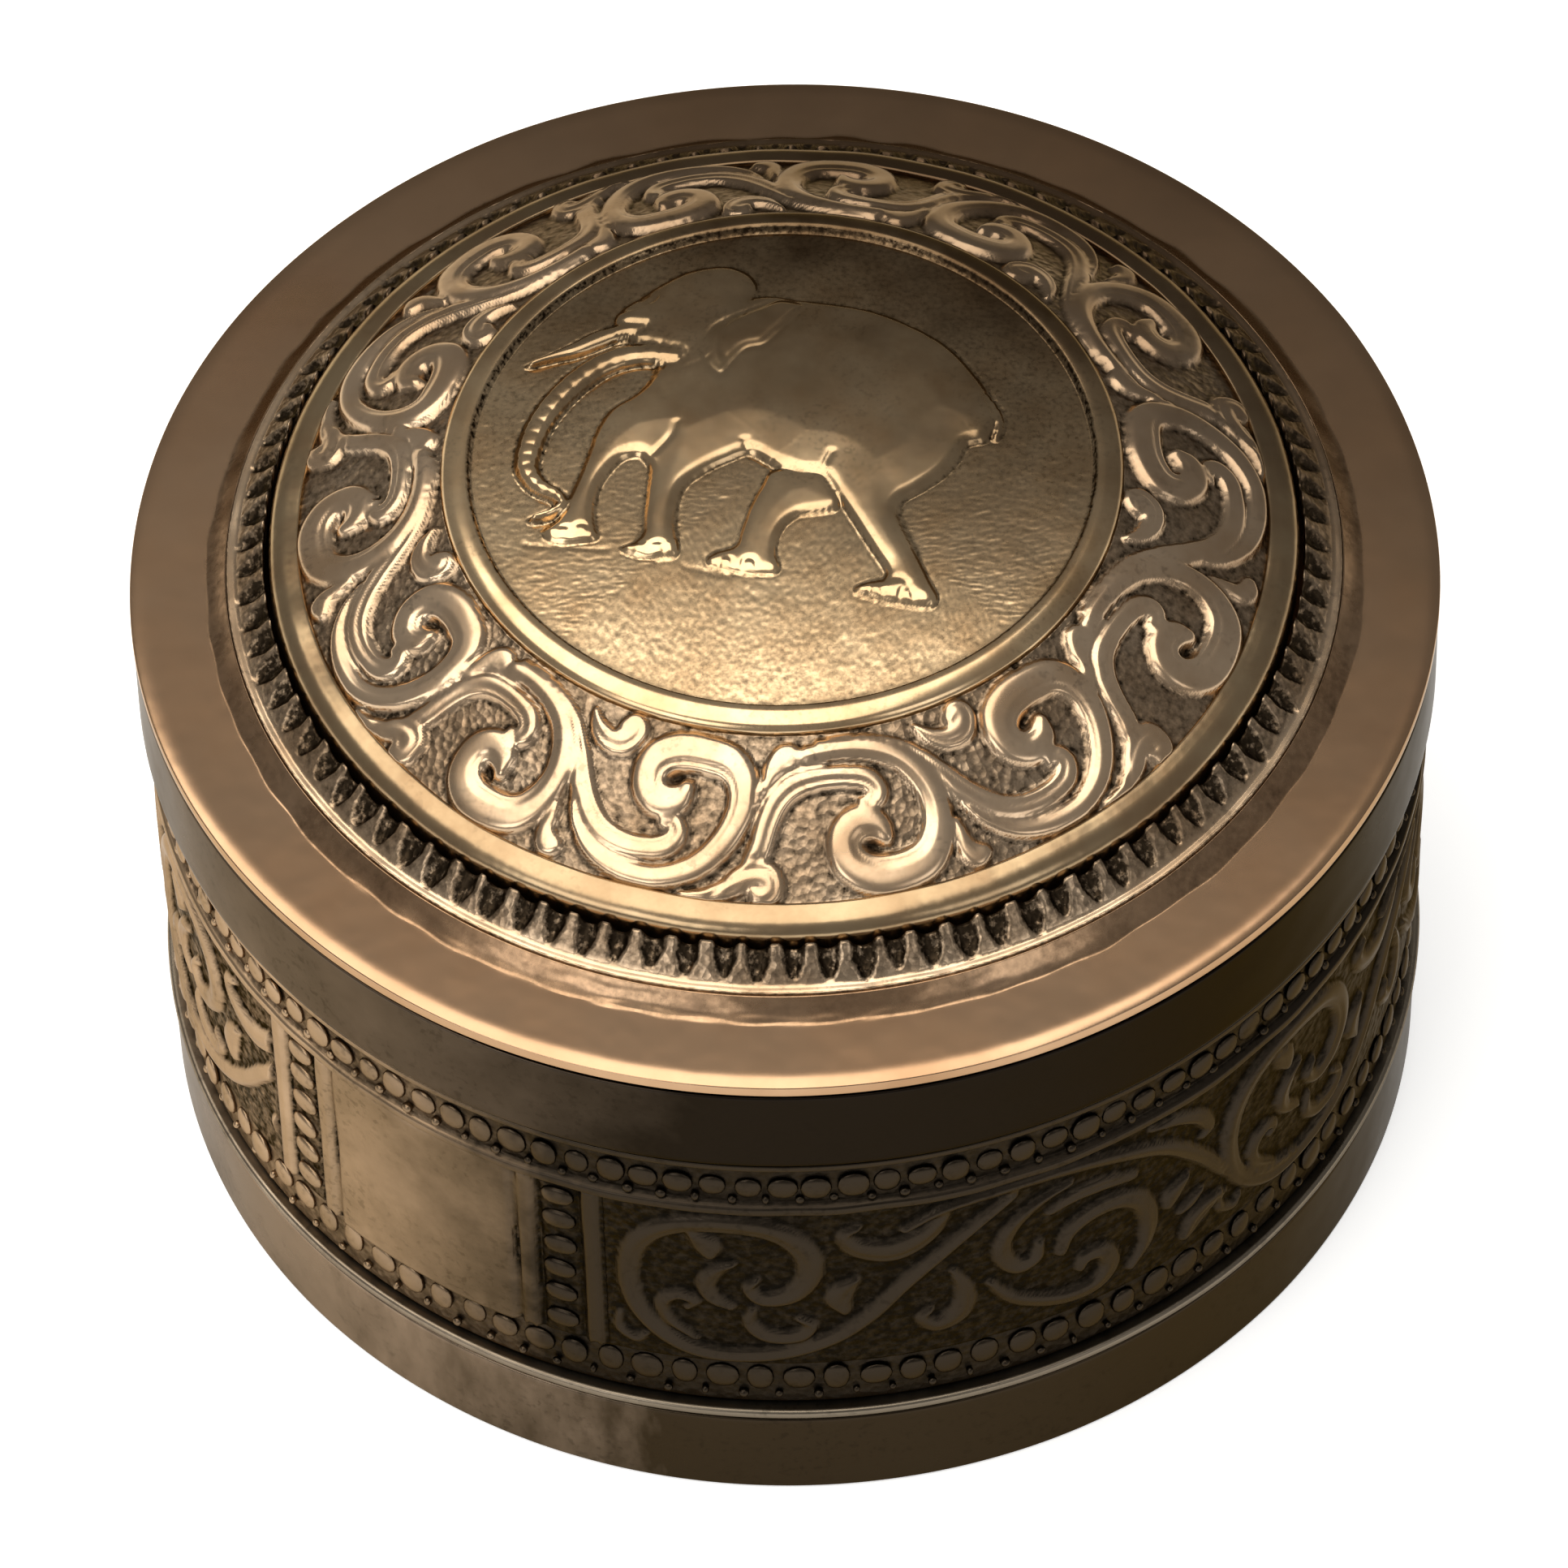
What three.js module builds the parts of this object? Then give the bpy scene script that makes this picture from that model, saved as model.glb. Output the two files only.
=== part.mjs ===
// A round trinket box of chased sheet silver with a lift-off lid, about 80 mm across.
// Units are millimetres, +Z is up, and the origin is the centre of the base it stands on.
// The box is a foot band with a base plate, a half-round wire, the chased wall and a collar
// that stands up inside it. The lid is a skirt that slips over the collar, a flange on top of
// it, and a raised plaque on the flange with a notched border round its foot.

import * as THREE from 'three';

// Driving dimensions

const LID_RADIUS = 40; // outside of the lid's skirt and flange
const SEAM_GAP = 0.3; // left between pieces that are soldered or rest on each other
const SLIP_CLEARANCE = 0.35; // between the skirt and the collar it slips over
const FACETS = 72; // straight sides that stand for one full turn

const BASE_GAUGE = 1.0;
const FOOT_BAND_HEIGHT = 7.2;
const FOOT_BAND_GAUGE = 0.95;
const FOOT_WIRE_HEIGHT = 0.7;
const FOOT_WIRE_DEPTH = 1.15;

const WALL_HEIGHT = 24.8;
const WALL_GAUGE = 0.7; // at the flat ground of the panels
const BEAD_RELIEF = 0.3; // how far the two bead rows stand out from that ground
const RIM_RELIEF = 0.4; // how far the plain rim under the lid stands out
const RIDGE_RELIEF = 0.25;
const LOWER_BEADS_HEIGHT = 3.2;
const UPPER_BEADS_HEIGHT = 2.7;
const RIM_HEIGHT = 0.6;
const RIDGE_HEIGHT = 0.7;
const RIDGE_TO_BEADS = 0.9; // flat strip between the ridge and the upper beads

const COLLAR_GAUGE = 0.8;
const COLLAR_INSIDE_WALL = 7; // length of the collar that is soldered inside the wall
const COLLAR_STAND = 7; // length that stands above the wall, inside the lid
const COLLAR_CHAMFER = 0.3;

const SKIRT_HEIGHT = 6.7;
const SKIRT_GAUGE = 1.3;
const SKIRT_ROUNDING = 0.3;

const FLANGE_GAUGE = 0.8;
const FLANGE_ROUNDING = 0.4;
const FLANGE_RISE = 1.0; // the flange climbs this much from its edge to the lip's root
const SHELF_RISE = 0.15; // the part of that climb that the nearly flat shelf takes
const SWEEP_WIDTH = 0.9; // strip in which the shelf sweeps up to the lip
const LIP_WIDTH = 0.9;
const LIP_HEIGHT = 0.35;
const LEDGE_DROP = 0.2; // the border and the plaque sit this much lower than the lip's root
const LEDGE_REACH = 1.4; // how far the ledge runs in under the plaque

const BORDER_WIDTH = 2.3;
const BORDER_OUTER_HEIGHT = 0.7;
const BORDER_INNER_HEIGHT = 1.7;

const DOME_RADIUS = 31.4;
const DOME_GAUGE = 0.8;
// The plaque's section, as [radius, height above its own lower edge]
const DOME_FOOT_WALL = [DOME_RADIUS, 1.8];
const DOME_RING_CREST = [30.4, 3.05];
const SCROLL_BAND_OUTER = [29.3, 3.25];
const SCROLL_BAND_MIDDLE = [25.2, 6.1];
const SCROLL_BAND_INNER = [20.8, 8.3];
const MEDALLION_RING = [19.8, 8.85];
const MEDALLION_FIELD = [18.4, 8.95];
const MEDALLION_CROWN_HEIGHT = 9.9;
const DOME_CURVE_STEPS = 9;

// Heights and radii that follow from those dimensions

const footWireZ = FOOT_BAND_HEIGHT + SEAM_GAP;
const wallZ = footWireZ + FOOT_WIRE_HEIGHT + SEAM_GAP;
const wallTopZ = wallZ + WALL_HEIGHT;
const skirtZ = wallTopZ + SEAM_GAP;
const skirtTopZ = skirtZ + SKIRT_HEIGHT;
const flangeEdgeZ = skirtTopZ + SEAM_GAP;

const skirtInnerRadius = LID_RADIUS - SKIRT_GAUGE;
const collarOuterRadius = skirtInnerRadius - SLIP_CLEARANCE;
const wallInnerRadius = collarOuterRadius + SEAM_GAP;
const wallGroundRadius = wallInnerRadius + WALL_GAUGE;

const borderInnerRadius = DOME_RADIUS + SEAM_GAP;
const borderOuterRadius = borderInnerRadius + BORDER_WIDTH;
const lipInnerRadius = borderOuterRadius + SEAM_GAP;
const lipOuterRadius = lipInnerRadius + LIP_WIDTH;
const sweepRadius = lipOuterRadius + SWEEP_WIDTH;
const lipRootZ = flangeEdgeZ + FLANGE_GAUGE + FLANGE_RISE;
const ledgeZ = lipRootZ - LEDGE_DROP;
const plaqueZ = ledgeZ + SEAM_GAP;

// Finishes, as plain colours

const polishedSilver = { color: 0x8c7358, roughness: 0.3, metalness: 1 };
const chasedSilver = { color: 0x6b5741, roughness: 0.42, metalness: 1 };
const innerSilver = { color: 0x9c8a72, roughness: 0.4, metalness: 1 };

/** Turns a section, given as [radius, height] points going anticlockwise, about the Z axis. */
function turned(section) {
  const points = section.map(([radius, height]) => new THREE.Vector2(radius, height));
  const geometry = new THREE.LatheGeometry(points, FACETS);
  geometry.rotateX(Math.PI / 2);
  return geometry;
}

/** The same as turned, for a ring whose section closes on itself. */
function turnedRing(section) {
  return turned([...section, section[0]]);
}

/** A named piece with its own material. */
function piece(name, geometry, finish) {
  const mesh = new THREE.Mesh(geometry, new THREE.MeshStandardMaterial(finish));
  mesh.name = name;
  return mesh;
}

/** Half a round of relief on a wall, bulging out from radius between two heights. */
function bulge(radius, relief, lowZ, highZ, steps = 4) {
  return Array.from({ length: steps + 1 }, (_, step) => {
    const angle = (Math.PI * step) / steps;
    const middle = (lowZ + highZ) / 2;
    const half = (highZ - lowZ) / 2;
    return [radius + relief * Math.sin(angle), middle - half * Math.cos(angle)];
  });
}

// The box

/** Flat disc that closes the bottom inside the foot band. */
function basePlate() {
  const radius = wallInnerRadius - SEAM_GAP;
  return turned([
    [0, 0],
    [radius, 0],
    [radius, BASE_GAUGE],
    [0, BASE_GAUGE],
  ]);
}

/** Plain polished band that the box stands on. */
function footBand() {
  const outer = wallInnerRadius + FOOT_BAND_GAUGE;
  return turnedRing([
    [wallInnerRadius, 0],
    [outer, 0],
    [outer, FOOT_BAND_HEIGHT],
    [wallInnerRadius, FOOT_BAND_HEIGHT],
  ]);
}

/** Half-round wire over the joint between the foot band and the chased wall. */
function footWire() {
  const seat = wallInnerRadius + FOOT_WIRE_DEPTH - FOOT_WIRE_HEIGHT / 2;
  const round = bulge(seat, FOOT_WIRE_HEIGHT / 2, footWireZ, footWireZ + FOOT_WIRE_HEIGHT);
  return turnedRing([
    [wallInnerRadius, footWireZ],
    ...round,
    [wallInnerRadius, footWireZ + FOOT_WIRE_HEIGHT],
  ]);
}

/** Chased wall: a bead row at each edge, the panels between them and a plain rim on top. */
function chasedWall() {
  const ground = wallGroundRadius;
  const rimZ = wallTopZ - RIM_HEIGHT;
  const upperBeadsZ = rimZ - UPPER_BEADS_HEIGHT;
  const ridgeZ = upperBeadsZ - RIDGE_TO_BEADS - RIDGE_HEIGHT;
  return turnedRing([
    [wallInnerRadius, wallZ],
    ...bulge(ground, BEAD_RELIEF, wallZ, wallZ + LOWER_BEADS_HEIGHT),
    ...bulge(ground, RIDGE_RELIEF, ridgeZ, ridgeZ + RIDGE_HEIGHT, 2),
    ...bulge(ground, BEAD_RELIEF, upperBeadsZ, rimZ),
    [ground + RIM_RELIEF, rimZ],
    [ground + RIM_RELIEF, wallTopZ],
    [wallInnerRadius, wallTopZ],
  ]);
}

/** Collar inside the wall that the lid slips over. */
function neckCollar() {
  const inner = collarOuterRadius - COLLAR_GAUGE;
  const lowZ = wallTopZ - COLLAR_INSIDE_WALL;
  const highZ = wallTopZ + COLLAR_STAND;
  return turnedRing([
    [inner, lowZ],
    [collarOuterRadius, lowZ],
    [collarOuterRadius, highZ - COLLAR_CHAMFER],
    [collarOuterRadius - COLLAR_CHAMFER, highZ],
    [inner, highZ],
  ]);
}

// The lid

/** Plain skirt that slips over the collar and rests on the wall's rim. */
function lidSkirt() {
  return turnedRing([
    [skirtInnerRadius, skirtZ],
    [LID_RADIUS - SKIRT_ROUNDING, skirtZ],
    [LID_RADIUS, skirtZ + SKIRT_ROUNDING],
    [LID_RADIUS, skirtTopZ],
    [skirtInnerRadius, skirtTopZ],
  ]);
}

/** Polished flange: a rounded edge, a nearly flat shelf, a low lip and the ledge for the plaque. */
function lidFlange() {
  const top = flangeEdgeZ + FLANGE_GAUGE;
  const ledgeInner = DOME_RADIUS - LEDGE_REACH;
  return turnedRing([
    [LID_RADIUS - FLANGE_ROUNDING, flangeEdgeZ],
    [LID_RADIUS, flangeEdgeZ + FLANGE_GAUGE / 3],
    [LID_RADIUS, top - FLANGE_GAUGE / 3],
    [LID_RADIUS - FLANGE_ROUNDING, top],
    [sweepRadius, top + SHELF_RISE],
    [lipOuterRadius, lipRootZ],
    [(lipOuterRadius + lipInnerRadius) / 2, lipRootZ + LIP_HEIGHT],
    [lipInnerRadius, lipRootZ],
    [lipInnerRadius, ledgeZ],
    [ledgeInner, ledgeZ],
    [ledgeInner, ledgeZ - FLANGE_GAUGE],
    [lipInnerRadius, ledgeZ - FLANGE_GAUGE],
    [sweepRadius, flangeEdgeZ + SHELF_RISE],
  ]);
}

/** Strip round the plaque's foot that carries the notches. */
function notchedBorder() {
  return turnedRing([
    [borderInnerRadius, plaqueZ],
    [borderOuterRadius, plaqueZ],
    [borderOuterRadius, plaqueZ + BORDER_OUTER_HEIGHT],
    [borderInnerRadius, plaqueZ + BORDER_INNER_HEIGHT],
  ]);
}

/** Points of the plaque's upper surface, from its foot to the crown on the axis. */
function domeSurface() {
  const shoulder = [DOME_FOOT_WALL, DOME_RING_CREST];
  const slope = [SCROLL_BAND_OUTER, SCROLL_BAND_MIDDLE, SCROLL_BAND_INNER, MEDALLION_RING];
  const curve = new THREE.SplineCurve(slope.map(([radius, height]) => new THREE.Vector2(radius, height)));
  const slopePoints = curve.getPoints(DOME_CURVE_STEPS).map((point) => [point.x, point.y]);
  const crown = [2, 1, 0].map((third) => {
    const share = third / 3;
    const fall = (MEDALLION_CROWN_HEIGHT - MEDALLION_FIELD[1]) * share ** 2;
    return [MEDALLION_FIELD[0] * share, MEDALLION_CROWN_HEIGHT - fall];
  });
  return [...shoulder, ...slopePoints, MEDALLION_FIELD, ...crown];
}

/** Raised plaque: a ring, the sloping scroll band and the round medallion, in one sheet. */
function lidDome() {
  const upper = domeSurface();
  const lower = upper.map(([radius, height], index) => {
    const before = upper[Math.max(index - 1, 0)];
    const after = upper[Math.min(index + 1, upper.length - 1)];
    const along = new THREE.Vector2(after[0] - before[0], after[1] - before[1]).normalize();
    return [Math.max(radius - along.y * DOME_GAUGE, 0), height + along.x * DOME_GAUGE];
  });
  const footOuter = [DOME_RADIUS, 0];
  const footInner = [DOME_RADIUS - DOME_GAUGE, 0];
  const lowerFoot = [DOME_RADIUS - DOME_GAUGE, DOME_FOOT_WALL[1]];
  const crownLower = [0, MEDALLION_CROWN_HEIGHT - DOME_GAUGE];
  const section = [crownLower, ...lower.slice(1, -1).reverse(), lowerFoot, footInner, footOuter, ...upper];
  return turned(section.map(([radius, height]) => [radius, plaqueZ + height]));
}

const box = new THREE.Group();
box.add(
  piece('base_plate', basePlate(), innerSilver),
  piece('foot_band', footBand(), polishedSilver),
  piece('foot_wire', footWire(), polishedSilver),
  piece('body_wall', chasedWall(), chasedSilver),
  piece('neck_collar', neckCollar(), innerSilver),
);

const lid = new THREE.Group();
lid.add(
  piece('lid_skirt', lidSkirt(), polishedSilver),
  piece('lid_flange', lidFlange(), polishedSilver),
  piece('notched_border', notchedBorder(), chasedSilver),
  piece('lid_dome', lidDome(), chasedSilver),
);

const silverBox = new THREE.Group();
silverBox.add(box, lid);

export default silverBox;
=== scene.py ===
"""A round lidded trinket box of chased sheet silver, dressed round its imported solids.

Lengths are millimetres and angles are degrees until a mesh or a lamp is made; Blender gets
metres. The front of the photograph looks along +Y. Azimuths go anticlockwise from +X.
"""

import logging
import math
from collections.abc import Callable, Iterator, Sequence
from dataclasses import dataclass, field, replace
from enum import Enum
from functools import partial

import bpy
import numpy as np
from mathutils import Matrix, Vector


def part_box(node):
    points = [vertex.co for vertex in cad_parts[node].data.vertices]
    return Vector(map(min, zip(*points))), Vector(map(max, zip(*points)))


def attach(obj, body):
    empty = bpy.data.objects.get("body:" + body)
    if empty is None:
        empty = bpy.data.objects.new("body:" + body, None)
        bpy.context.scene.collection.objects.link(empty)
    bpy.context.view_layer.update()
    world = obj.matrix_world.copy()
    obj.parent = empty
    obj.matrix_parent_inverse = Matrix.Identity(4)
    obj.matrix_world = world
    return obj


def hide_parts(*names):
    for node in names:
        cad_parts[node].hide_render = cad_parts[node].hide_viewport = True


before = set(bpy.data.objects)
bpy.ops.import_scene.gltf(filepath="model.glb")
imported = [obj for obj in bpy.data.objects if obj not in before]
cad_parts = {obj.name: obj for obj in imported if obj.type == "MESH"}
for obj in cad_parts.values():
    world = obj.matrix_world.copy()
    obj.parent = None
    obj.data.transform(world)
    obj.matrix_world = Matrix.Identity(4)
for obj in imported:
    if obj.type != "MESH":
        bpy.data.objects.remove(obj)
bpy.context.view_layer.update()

MM = 0.001

log = logging.getLogger("silver_box")

BODY_OF_BOX = "box"
BODY_OF_LID = "lid"


# Colour and node helpers


def linear(hex_colour: str) -> tuple[float, float, float, float]:
    """Turns an sRGB hex colour into the linear colour that shaders take.

    Args:
        hex_colour: Six hex digits, such as "8c7358".

    Returns:
        Red, green, blue and alpha, linear.
    """
    channels = [int(hex_colour[i : i + 2], 16) / 255 for i in (0, 2, 4)]
    spread = [c / 12.92 if c <= 0.04045 else ((c + 0.055) / 1.055) ** 2.4 for c in channels]
    return (*spread, 1.0)


def per_size(size_mm: float) -> float:
    """Returns the scale that gives a pattern on Object coordinates features of this size."""
    return 1 / (size_mm * MM)


def add_node(tree: bpy.types.NodeTree, kind: str, settings: dict | None = None,
             inputs: dict | None = None) -> bpy.types.Node:
    """Adds a node, sets its properties and fills its inputs.

    Args:
        tree: The tree that gets the node.
        kind: The node's type, such as "ShaderNodeTexNoise".
        settings: Property values by name.
        inputs: Values, sockets or nodes by input name or number. A socket is linked, and a node
            stands for the first of its outputs that is in use.

    Returns:
        The new node.
    """
    node = tree.nodes.new(kind)
    for name, value in (settings or {}).items():
        setattr(node, name, value)
    for key, value in (inputs or {}).items():
        socket = node.inputs[key]
        if isinstance(value, bpy.types.Node):
            value = next(output for output in value.outputs if output.enabled)
        if isinstance(value, bpy.types.NodeSocket):
            tree.links.new(value, socket)
        else:
            socket.default_value = value
    return node


TIMES = {"operation": "MULTIPLY"}
PLUS = {"operation": "ADD"}
MINUS = {"operation": "SUBTRACT"}
GREATER_OF = {"operation": "MAXIMUM"}
OF_COLOURS = {"data_type": "RGBA"}
OF_VECTORS = {"data_type": "FLOAT_VECTOR"}
FACTOR, FIRST_COLOUR, SECOND_COLOUR = 0, 6, 7  # inputs of a node that mixes colours


# Finishes


@dataclass(frozen=True)
class SilverFinish:
    """Tarnished sheet silver, worked and worn in one way.

    Silver that is handled stays bright on what stands out and keeps brown to black sulphide
    where no cloth reaches, so the colour goes from worn to oxide with the piece's own recess
    attribute. Clouds of thinner and thicker tarnish lie over both, and one side of the box is
    painted darker as a whole: painted shade, ramped along one direction.
    """

    name: str
    worn: str  # colours, from the brightest metal to the blackest hollow
    tarnish: str
    oxide: str
    roughness_worn: float
    roughness_tarnish: float
    edge: str  # what the metal tends to where it is seen at a low angle
    # painted shade: the colour that the shaded side of the box is painted towards
    shade: str
    shade_along: tuple[float, float, float]  # direction in which the painted shade darkens
    shade_from_mm: float
    shade_to_mm: float
    shade_ragged_mm: float = 9.0
    shade_ragged: float = 2.5  # how far the shade's edge wanders, in sizes of its patches
    shade_slant: float = 0.0  # lean of its patches about Y, in radians
    slant_stretch: float = 0.4  # scale along patches that lean, so that they are long
    cloud_mm: float = 7.0
    cloud_share: float = 0.85
    speck_mm: float = 0.55
    speck_share: float = 0.3
    speck_cluster_mm: float = 6.0
    scratch_mm: float = 0.25
    scratch_depth_mm: float = 0.002
    dent_mm: float = 4.0
    dent_depth_mm: float = 0.03
    stipple_mm: float = 0.0
    stipple_depth_mm: float = 0.0
    mottle: float = 2.2  # how unevenly the oxide fills what is recessed
    oxide_roughness: float = 0.18  # what oxide adds to the roughness
    fineness: float = 0.6  # weight of the finer waves in every cloud and patch
    recessed: bool = False

    def material(self) -> bpy.types.Material:
        """Builds the finish's material.

        Returns:
            The material, with every pattern on Object coordinates.
        """
        made = bpy.data.materials.new(self.name)
        made.use_nodes = True
        made.node_tree.nodes.clear()
        add = partial(add_node, made.node_tree)
        place = add("ShaderNodeTexCoord").outputs["Object"]
        colour, roughness = self._tarnished(add, place)
        recess = None
        if self.recessed:
            recess = add("ShaderNodeAttribute", {"attribute_name": "recess"}).outputs["Fac"]
            colour, roughness = self._oxidised(add, place, recess, colour, roughness)
        shader = add("ShaderNodeBsdfPrincipled", {}, {
            "Base Color": colour, "Roughness": roughness, "Metallic": 1.0, "Specular Tint": linear(self.edge),
            "Normal": self._worked_surface(add, place, recess)})
        add("ShaderNodeOutputMaterial", {}, {"Surface": shader})
        return made

    def _tarnished(self, add: Callable, place: bpy.types.NodeSocket) -> tuple[bpy.types.Node, bpy.types.Node]:
        """Lays clouds, the shaded side and black specks over the bright metal.

        Args:
            add: Adds a node to the material.
            place: Object coordinates.

        Returns:
            The nodes that give colour and roughness.
        """
        lean = add("ShaderNodeMapping", {}, {
            "Vector": place, "Rotation": (0.0, self.shade_slant, 0.0),
            "Scale": (1.0, 1.0, self.slant_stretch if self.shade_slant else 1.0)})
        patterns = ((place, self.cloud_mm, 5.0), (lean, self.shade_ragged_mm, 4.0),
                    (place, self.speck_mm, 2.0), (place, self.speck_cluster_mm, 3.0))
        clouds, ragged, specks, clusters = (
            add("ShaderNodeTexNoise", {}, {
                "Vector": where, "Scale": per_size(size), "Detail": detail, "Roughness": self.fineness})
            for where, size, detail in patterns)
        clouds = add("ShaderNodeMapRange", {}, {"Value": clouds, "From Min": 0.36, "From Max": 0.68})
        thickness = add("ShaderNodeMath", TIMES, {0: clouds, 1: self.cloud_share})
        colour = add("ShaderNodeMix", OF_COLOURS, {
            FACTOR: thickness, FIRST_COLOUR: linear(self.worn), SECOND_COLOUR: linear(self.tarnish)})

        # painted shade: the colour goes over to the shade colour along shade_along, with a ragged edge
        way = add("ShaderNodeVectorMath", {"operation": "DOT_PRODUCT"}, {0: place, 1: self.shade_along})
        ragged = add("ShaderNodeMath", MINUS, {0: ragged, 1: 0.5})
        ragged = add("ShaderNodeMath", TIMES, {0: ragged, 1: self.shade_ragged * self.shade_ragged_mm * MM})
        way = add("ShaderNodeMath", PLUS, {0: way, 1: ragged})
        start, full = self.shade_from_mm * MM, self.shade_to_mm * MM
        shade = add("ShaderNodeMapRange", {}, {"Value": way, "From Min": start, "From Max": full})
        colour = add("ShaderNodeMix", OF_COLOURS, {
            FACTOR: shade, FIRST_COLOUR: colour, SECOND_COLOUR: linear(self.shade)})

        specks = add("ShaderNodeMapRange", {}, {"Value": specks, "From Min": 0.54, "From Max": 0.66})
        clusters = add("ShaderNodeMapRange", {}, {"Value": clusters, "From Min": 0.42, "From Max": 0.62})
        specks = add("ShaderNodeMath", TIMES, {0: specks, 1: clusters})
        specks = add("ShaderNodeMath", TIMES, {0: specks, 1: self.speck_share})
        colour = add("ShaderNodeMix", OF_COLOURS, {
            FACTOR: specks, FIRST_COLOUR: colour, SECOND_COLOUR: linear(self.oxide)})

        gain = self.roughness_tarnish - self.roughness_worn
        rougher = add("ShaderNodeMath", TIMES, {0: thickness, 1: gain})
        return colour, add("ShaderNodeMath", PLUS, {0: rougher, 1: self.roughness_worn})

    def _oxidised(self, add: Callable, place: bpy.types.NodeSocket, recess: bpy.types.NodeSocket,
                  colour: bpy.types.Node, roughness: bpy.types.Node) -> tuple[bpy.types.Node, bpy.types.Node]:
        """Fills what is recessed with blotches of black oxide.

        Args:
            add: Adds a node to the material.
            place: Object coordinates.
            recess: How deep a place lies in the chasing.
            colour: The colour so far.
            roughness: The roughness so far.

        Returns:
            The nodes that give the new colour and roughness.
        """
        blotches = add("ShaderNodeTexNoise", {}, {
            "Vector": place, "Scale": per_size(self.stipple_mm or self.speck_mm), "Detail": 3.0,
            "Roughness": self.fineness})
        blotches = add("ShaderNodeMath", MINUS, {0: blotches, 1: 0.5})
        uneven = add("ShaderNodeMath", TIMES, {0: recess, 1: self.mottle})
        blotches = add("ShaderNodeMath", TIMES, {0: blotches, 1: uneven})
        filled = add("ShaderNodeMath", PLUS, {0: recess, 1: blotches})
        dark = add("ShaderNodeMapRange", {}, {"Value": filled, "From Min": 0.05, "From Max": 0.95})
        colour = add("ShaderNodeMix", OF_COLOURS, {
            FACTOR: dark, FIRST_COLOUR: colour, SECOND_COLOUR: linear(self.oxide)})
        rougher = add("ShaderNodeMath", TIMES, {0: dark, 1: self.oxide_roughness})
        return colour, add("ShaderNodeMath", PLUS, {0: roughness, 1: rougher})

    def _worked_surface(self, add: Callable, place: bpy.types.NodeSocket,
                        recess: bpy.types.NodeSocket | None) -> bpy.types.Node:
        """Gives the metal shallow dents, fine scratches and, in its ground, punch marks.

        Args:
            add: Adds a node to the material.
            place: Object coordinates.
            recess: How deep a place lies in the chasing, where the piece says so.

        Returns:
            The node that gives the normal.
        """
        dents = add("ShaderNodeTexNoise", {}, {
            "Vector": place, "Scale": per_size(self.dent_mm), "Detail": 2.0, "Roughness": self.fineness})
        normal = add("ShaderNodeBump", {}, {
            "Height": dents, "Strength": 1.0, "Distance": self.dent_depth_mm * MM})
        drawn_out = add("ShaderNodeMapping", {}, {
            "Vector": place, "Scale": (1.0, 0.16, 1.0), "Rotation": (0.3, 0.2, 0.6)})
        scratches = add("ShaderNodeTexNoise", {}, {
            "Vector": drawn_out, "Scale": per_size(self.scratch_mm), "Detail": 3.0,
            "Roughness": self.fineness})
        normal = add("ShaderNodeBump", {}, {
            "Height": scratches, "Strength": 1.0, "Distance": self.scratch_depth_mm * MM, "Normal": normal})
        if recess is None or not self.stipple_mm:
            return normal
        pits = add("ShaderNodeTexVoronoi", {}, {"Vector": place, "Scale": per_size(self.stipple_mm)})
        pits = add("ShaderNodeMath", TIMES, {0: pits, 1: recess})
        return add("ShaderNodeBump", {}, {
            "Height": pits, "Strength": 1.0, "Distance": self.stipple_depth_mm * MM, "Normal": normal})


# Directions along which the finishes' painted shade darkens.
TO_BACK = (0.42, 0.91, 0.0)
TO_RIGHT = (0.94, -0.34, 0.0)

# Sheet silver, planished and polished, then softly worn: broad clean reflections, hardly a scratch,
# and soot-brown tarnish at the solder, where the flange also carries painted shade against the border.
# Towards the back it is painted darker: painted shade.
POLISHED_LID = SilverFinish(
    "polished_sheet_silver", worn="b59474", tarnish="9c7a5b", oxide="3a2c1e", roughness_worn=0.18,
    roughness_tarnish=0.25, edge="dccfbd", shade="6d5640", shade_along=TO_BACK, shade_from_mm=-10,
    shade_to_mm=48, cloud_mm=13.0, speck_share=0.02, scratch_depth_mm=0.0001, recessed=True)

# The same sheet on the skirt, seldom polished: an even brown film, so its reflections are dim and
# blurred, and broad dents from being handled bend them. Towards the right it is painted darker:
# painted shade.
POLISHED_SIDE = SilverFinish(
    "tarnished_polished_silver", worn="6b5c4d", tarnish="564a3d", oxide="1a1612", roughness_worn=0.26,
    roughness_tarnish=0.36, edge="c0bbb4", shade="1e1914", shade_along=TO_RIGHT, shade_from_mm=-25,
    shade_to_mm=7, cloud_mm=12.0, dent_mm=9.0, dent_depth_mm=0.12)

# The foot band: light metal, painted darker towards the right with painted shade whose ragged
# edge breaks into dark slanting streaks.
FOOT_SIDE = replace(
    POLISHED_SIDE, name="tarnished_foot_silver", worn="897663", tarnish="6a5c4c", shade="342b20",
    shade_from_mm=-18, shade_to_mm=4, shade_ragged_mm=4.0, shade_ragged=9.0, shade_slant=0.8)

# Drawn half-round wire, rubbed bright because it stands out.
# Towards the right it is painted a little darker: painted shade.
WIRE = replace(
    POLISHED_SIDE, name="rubbed_wire_silver", worn="a0917d", tarnish="6f6152", shade="73695b", cloud_mm=5.0)

# Sheet silver chased with liners and punches on the lid: bright rounded leaves over a ground of
# black-filled punch marks.
# Towards the back it is painted darker: painted shade.
CHASED_LID = SilverFinish(
    "chased_sheet_silver", worn="d0b596", tarnish="b09170", oxide="2e251b", roughness_worn=0.21,
    roughness_tarnish=0.29, edge="dccfbd", shade="584533", shade_along=TO_BACK, shade_from_mm=-6,
    shade_to_mm=30, cloud_mm=5.0, stipple_mm=0.5, stipple_depth_mm=0.1, recessed=True)
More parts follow.
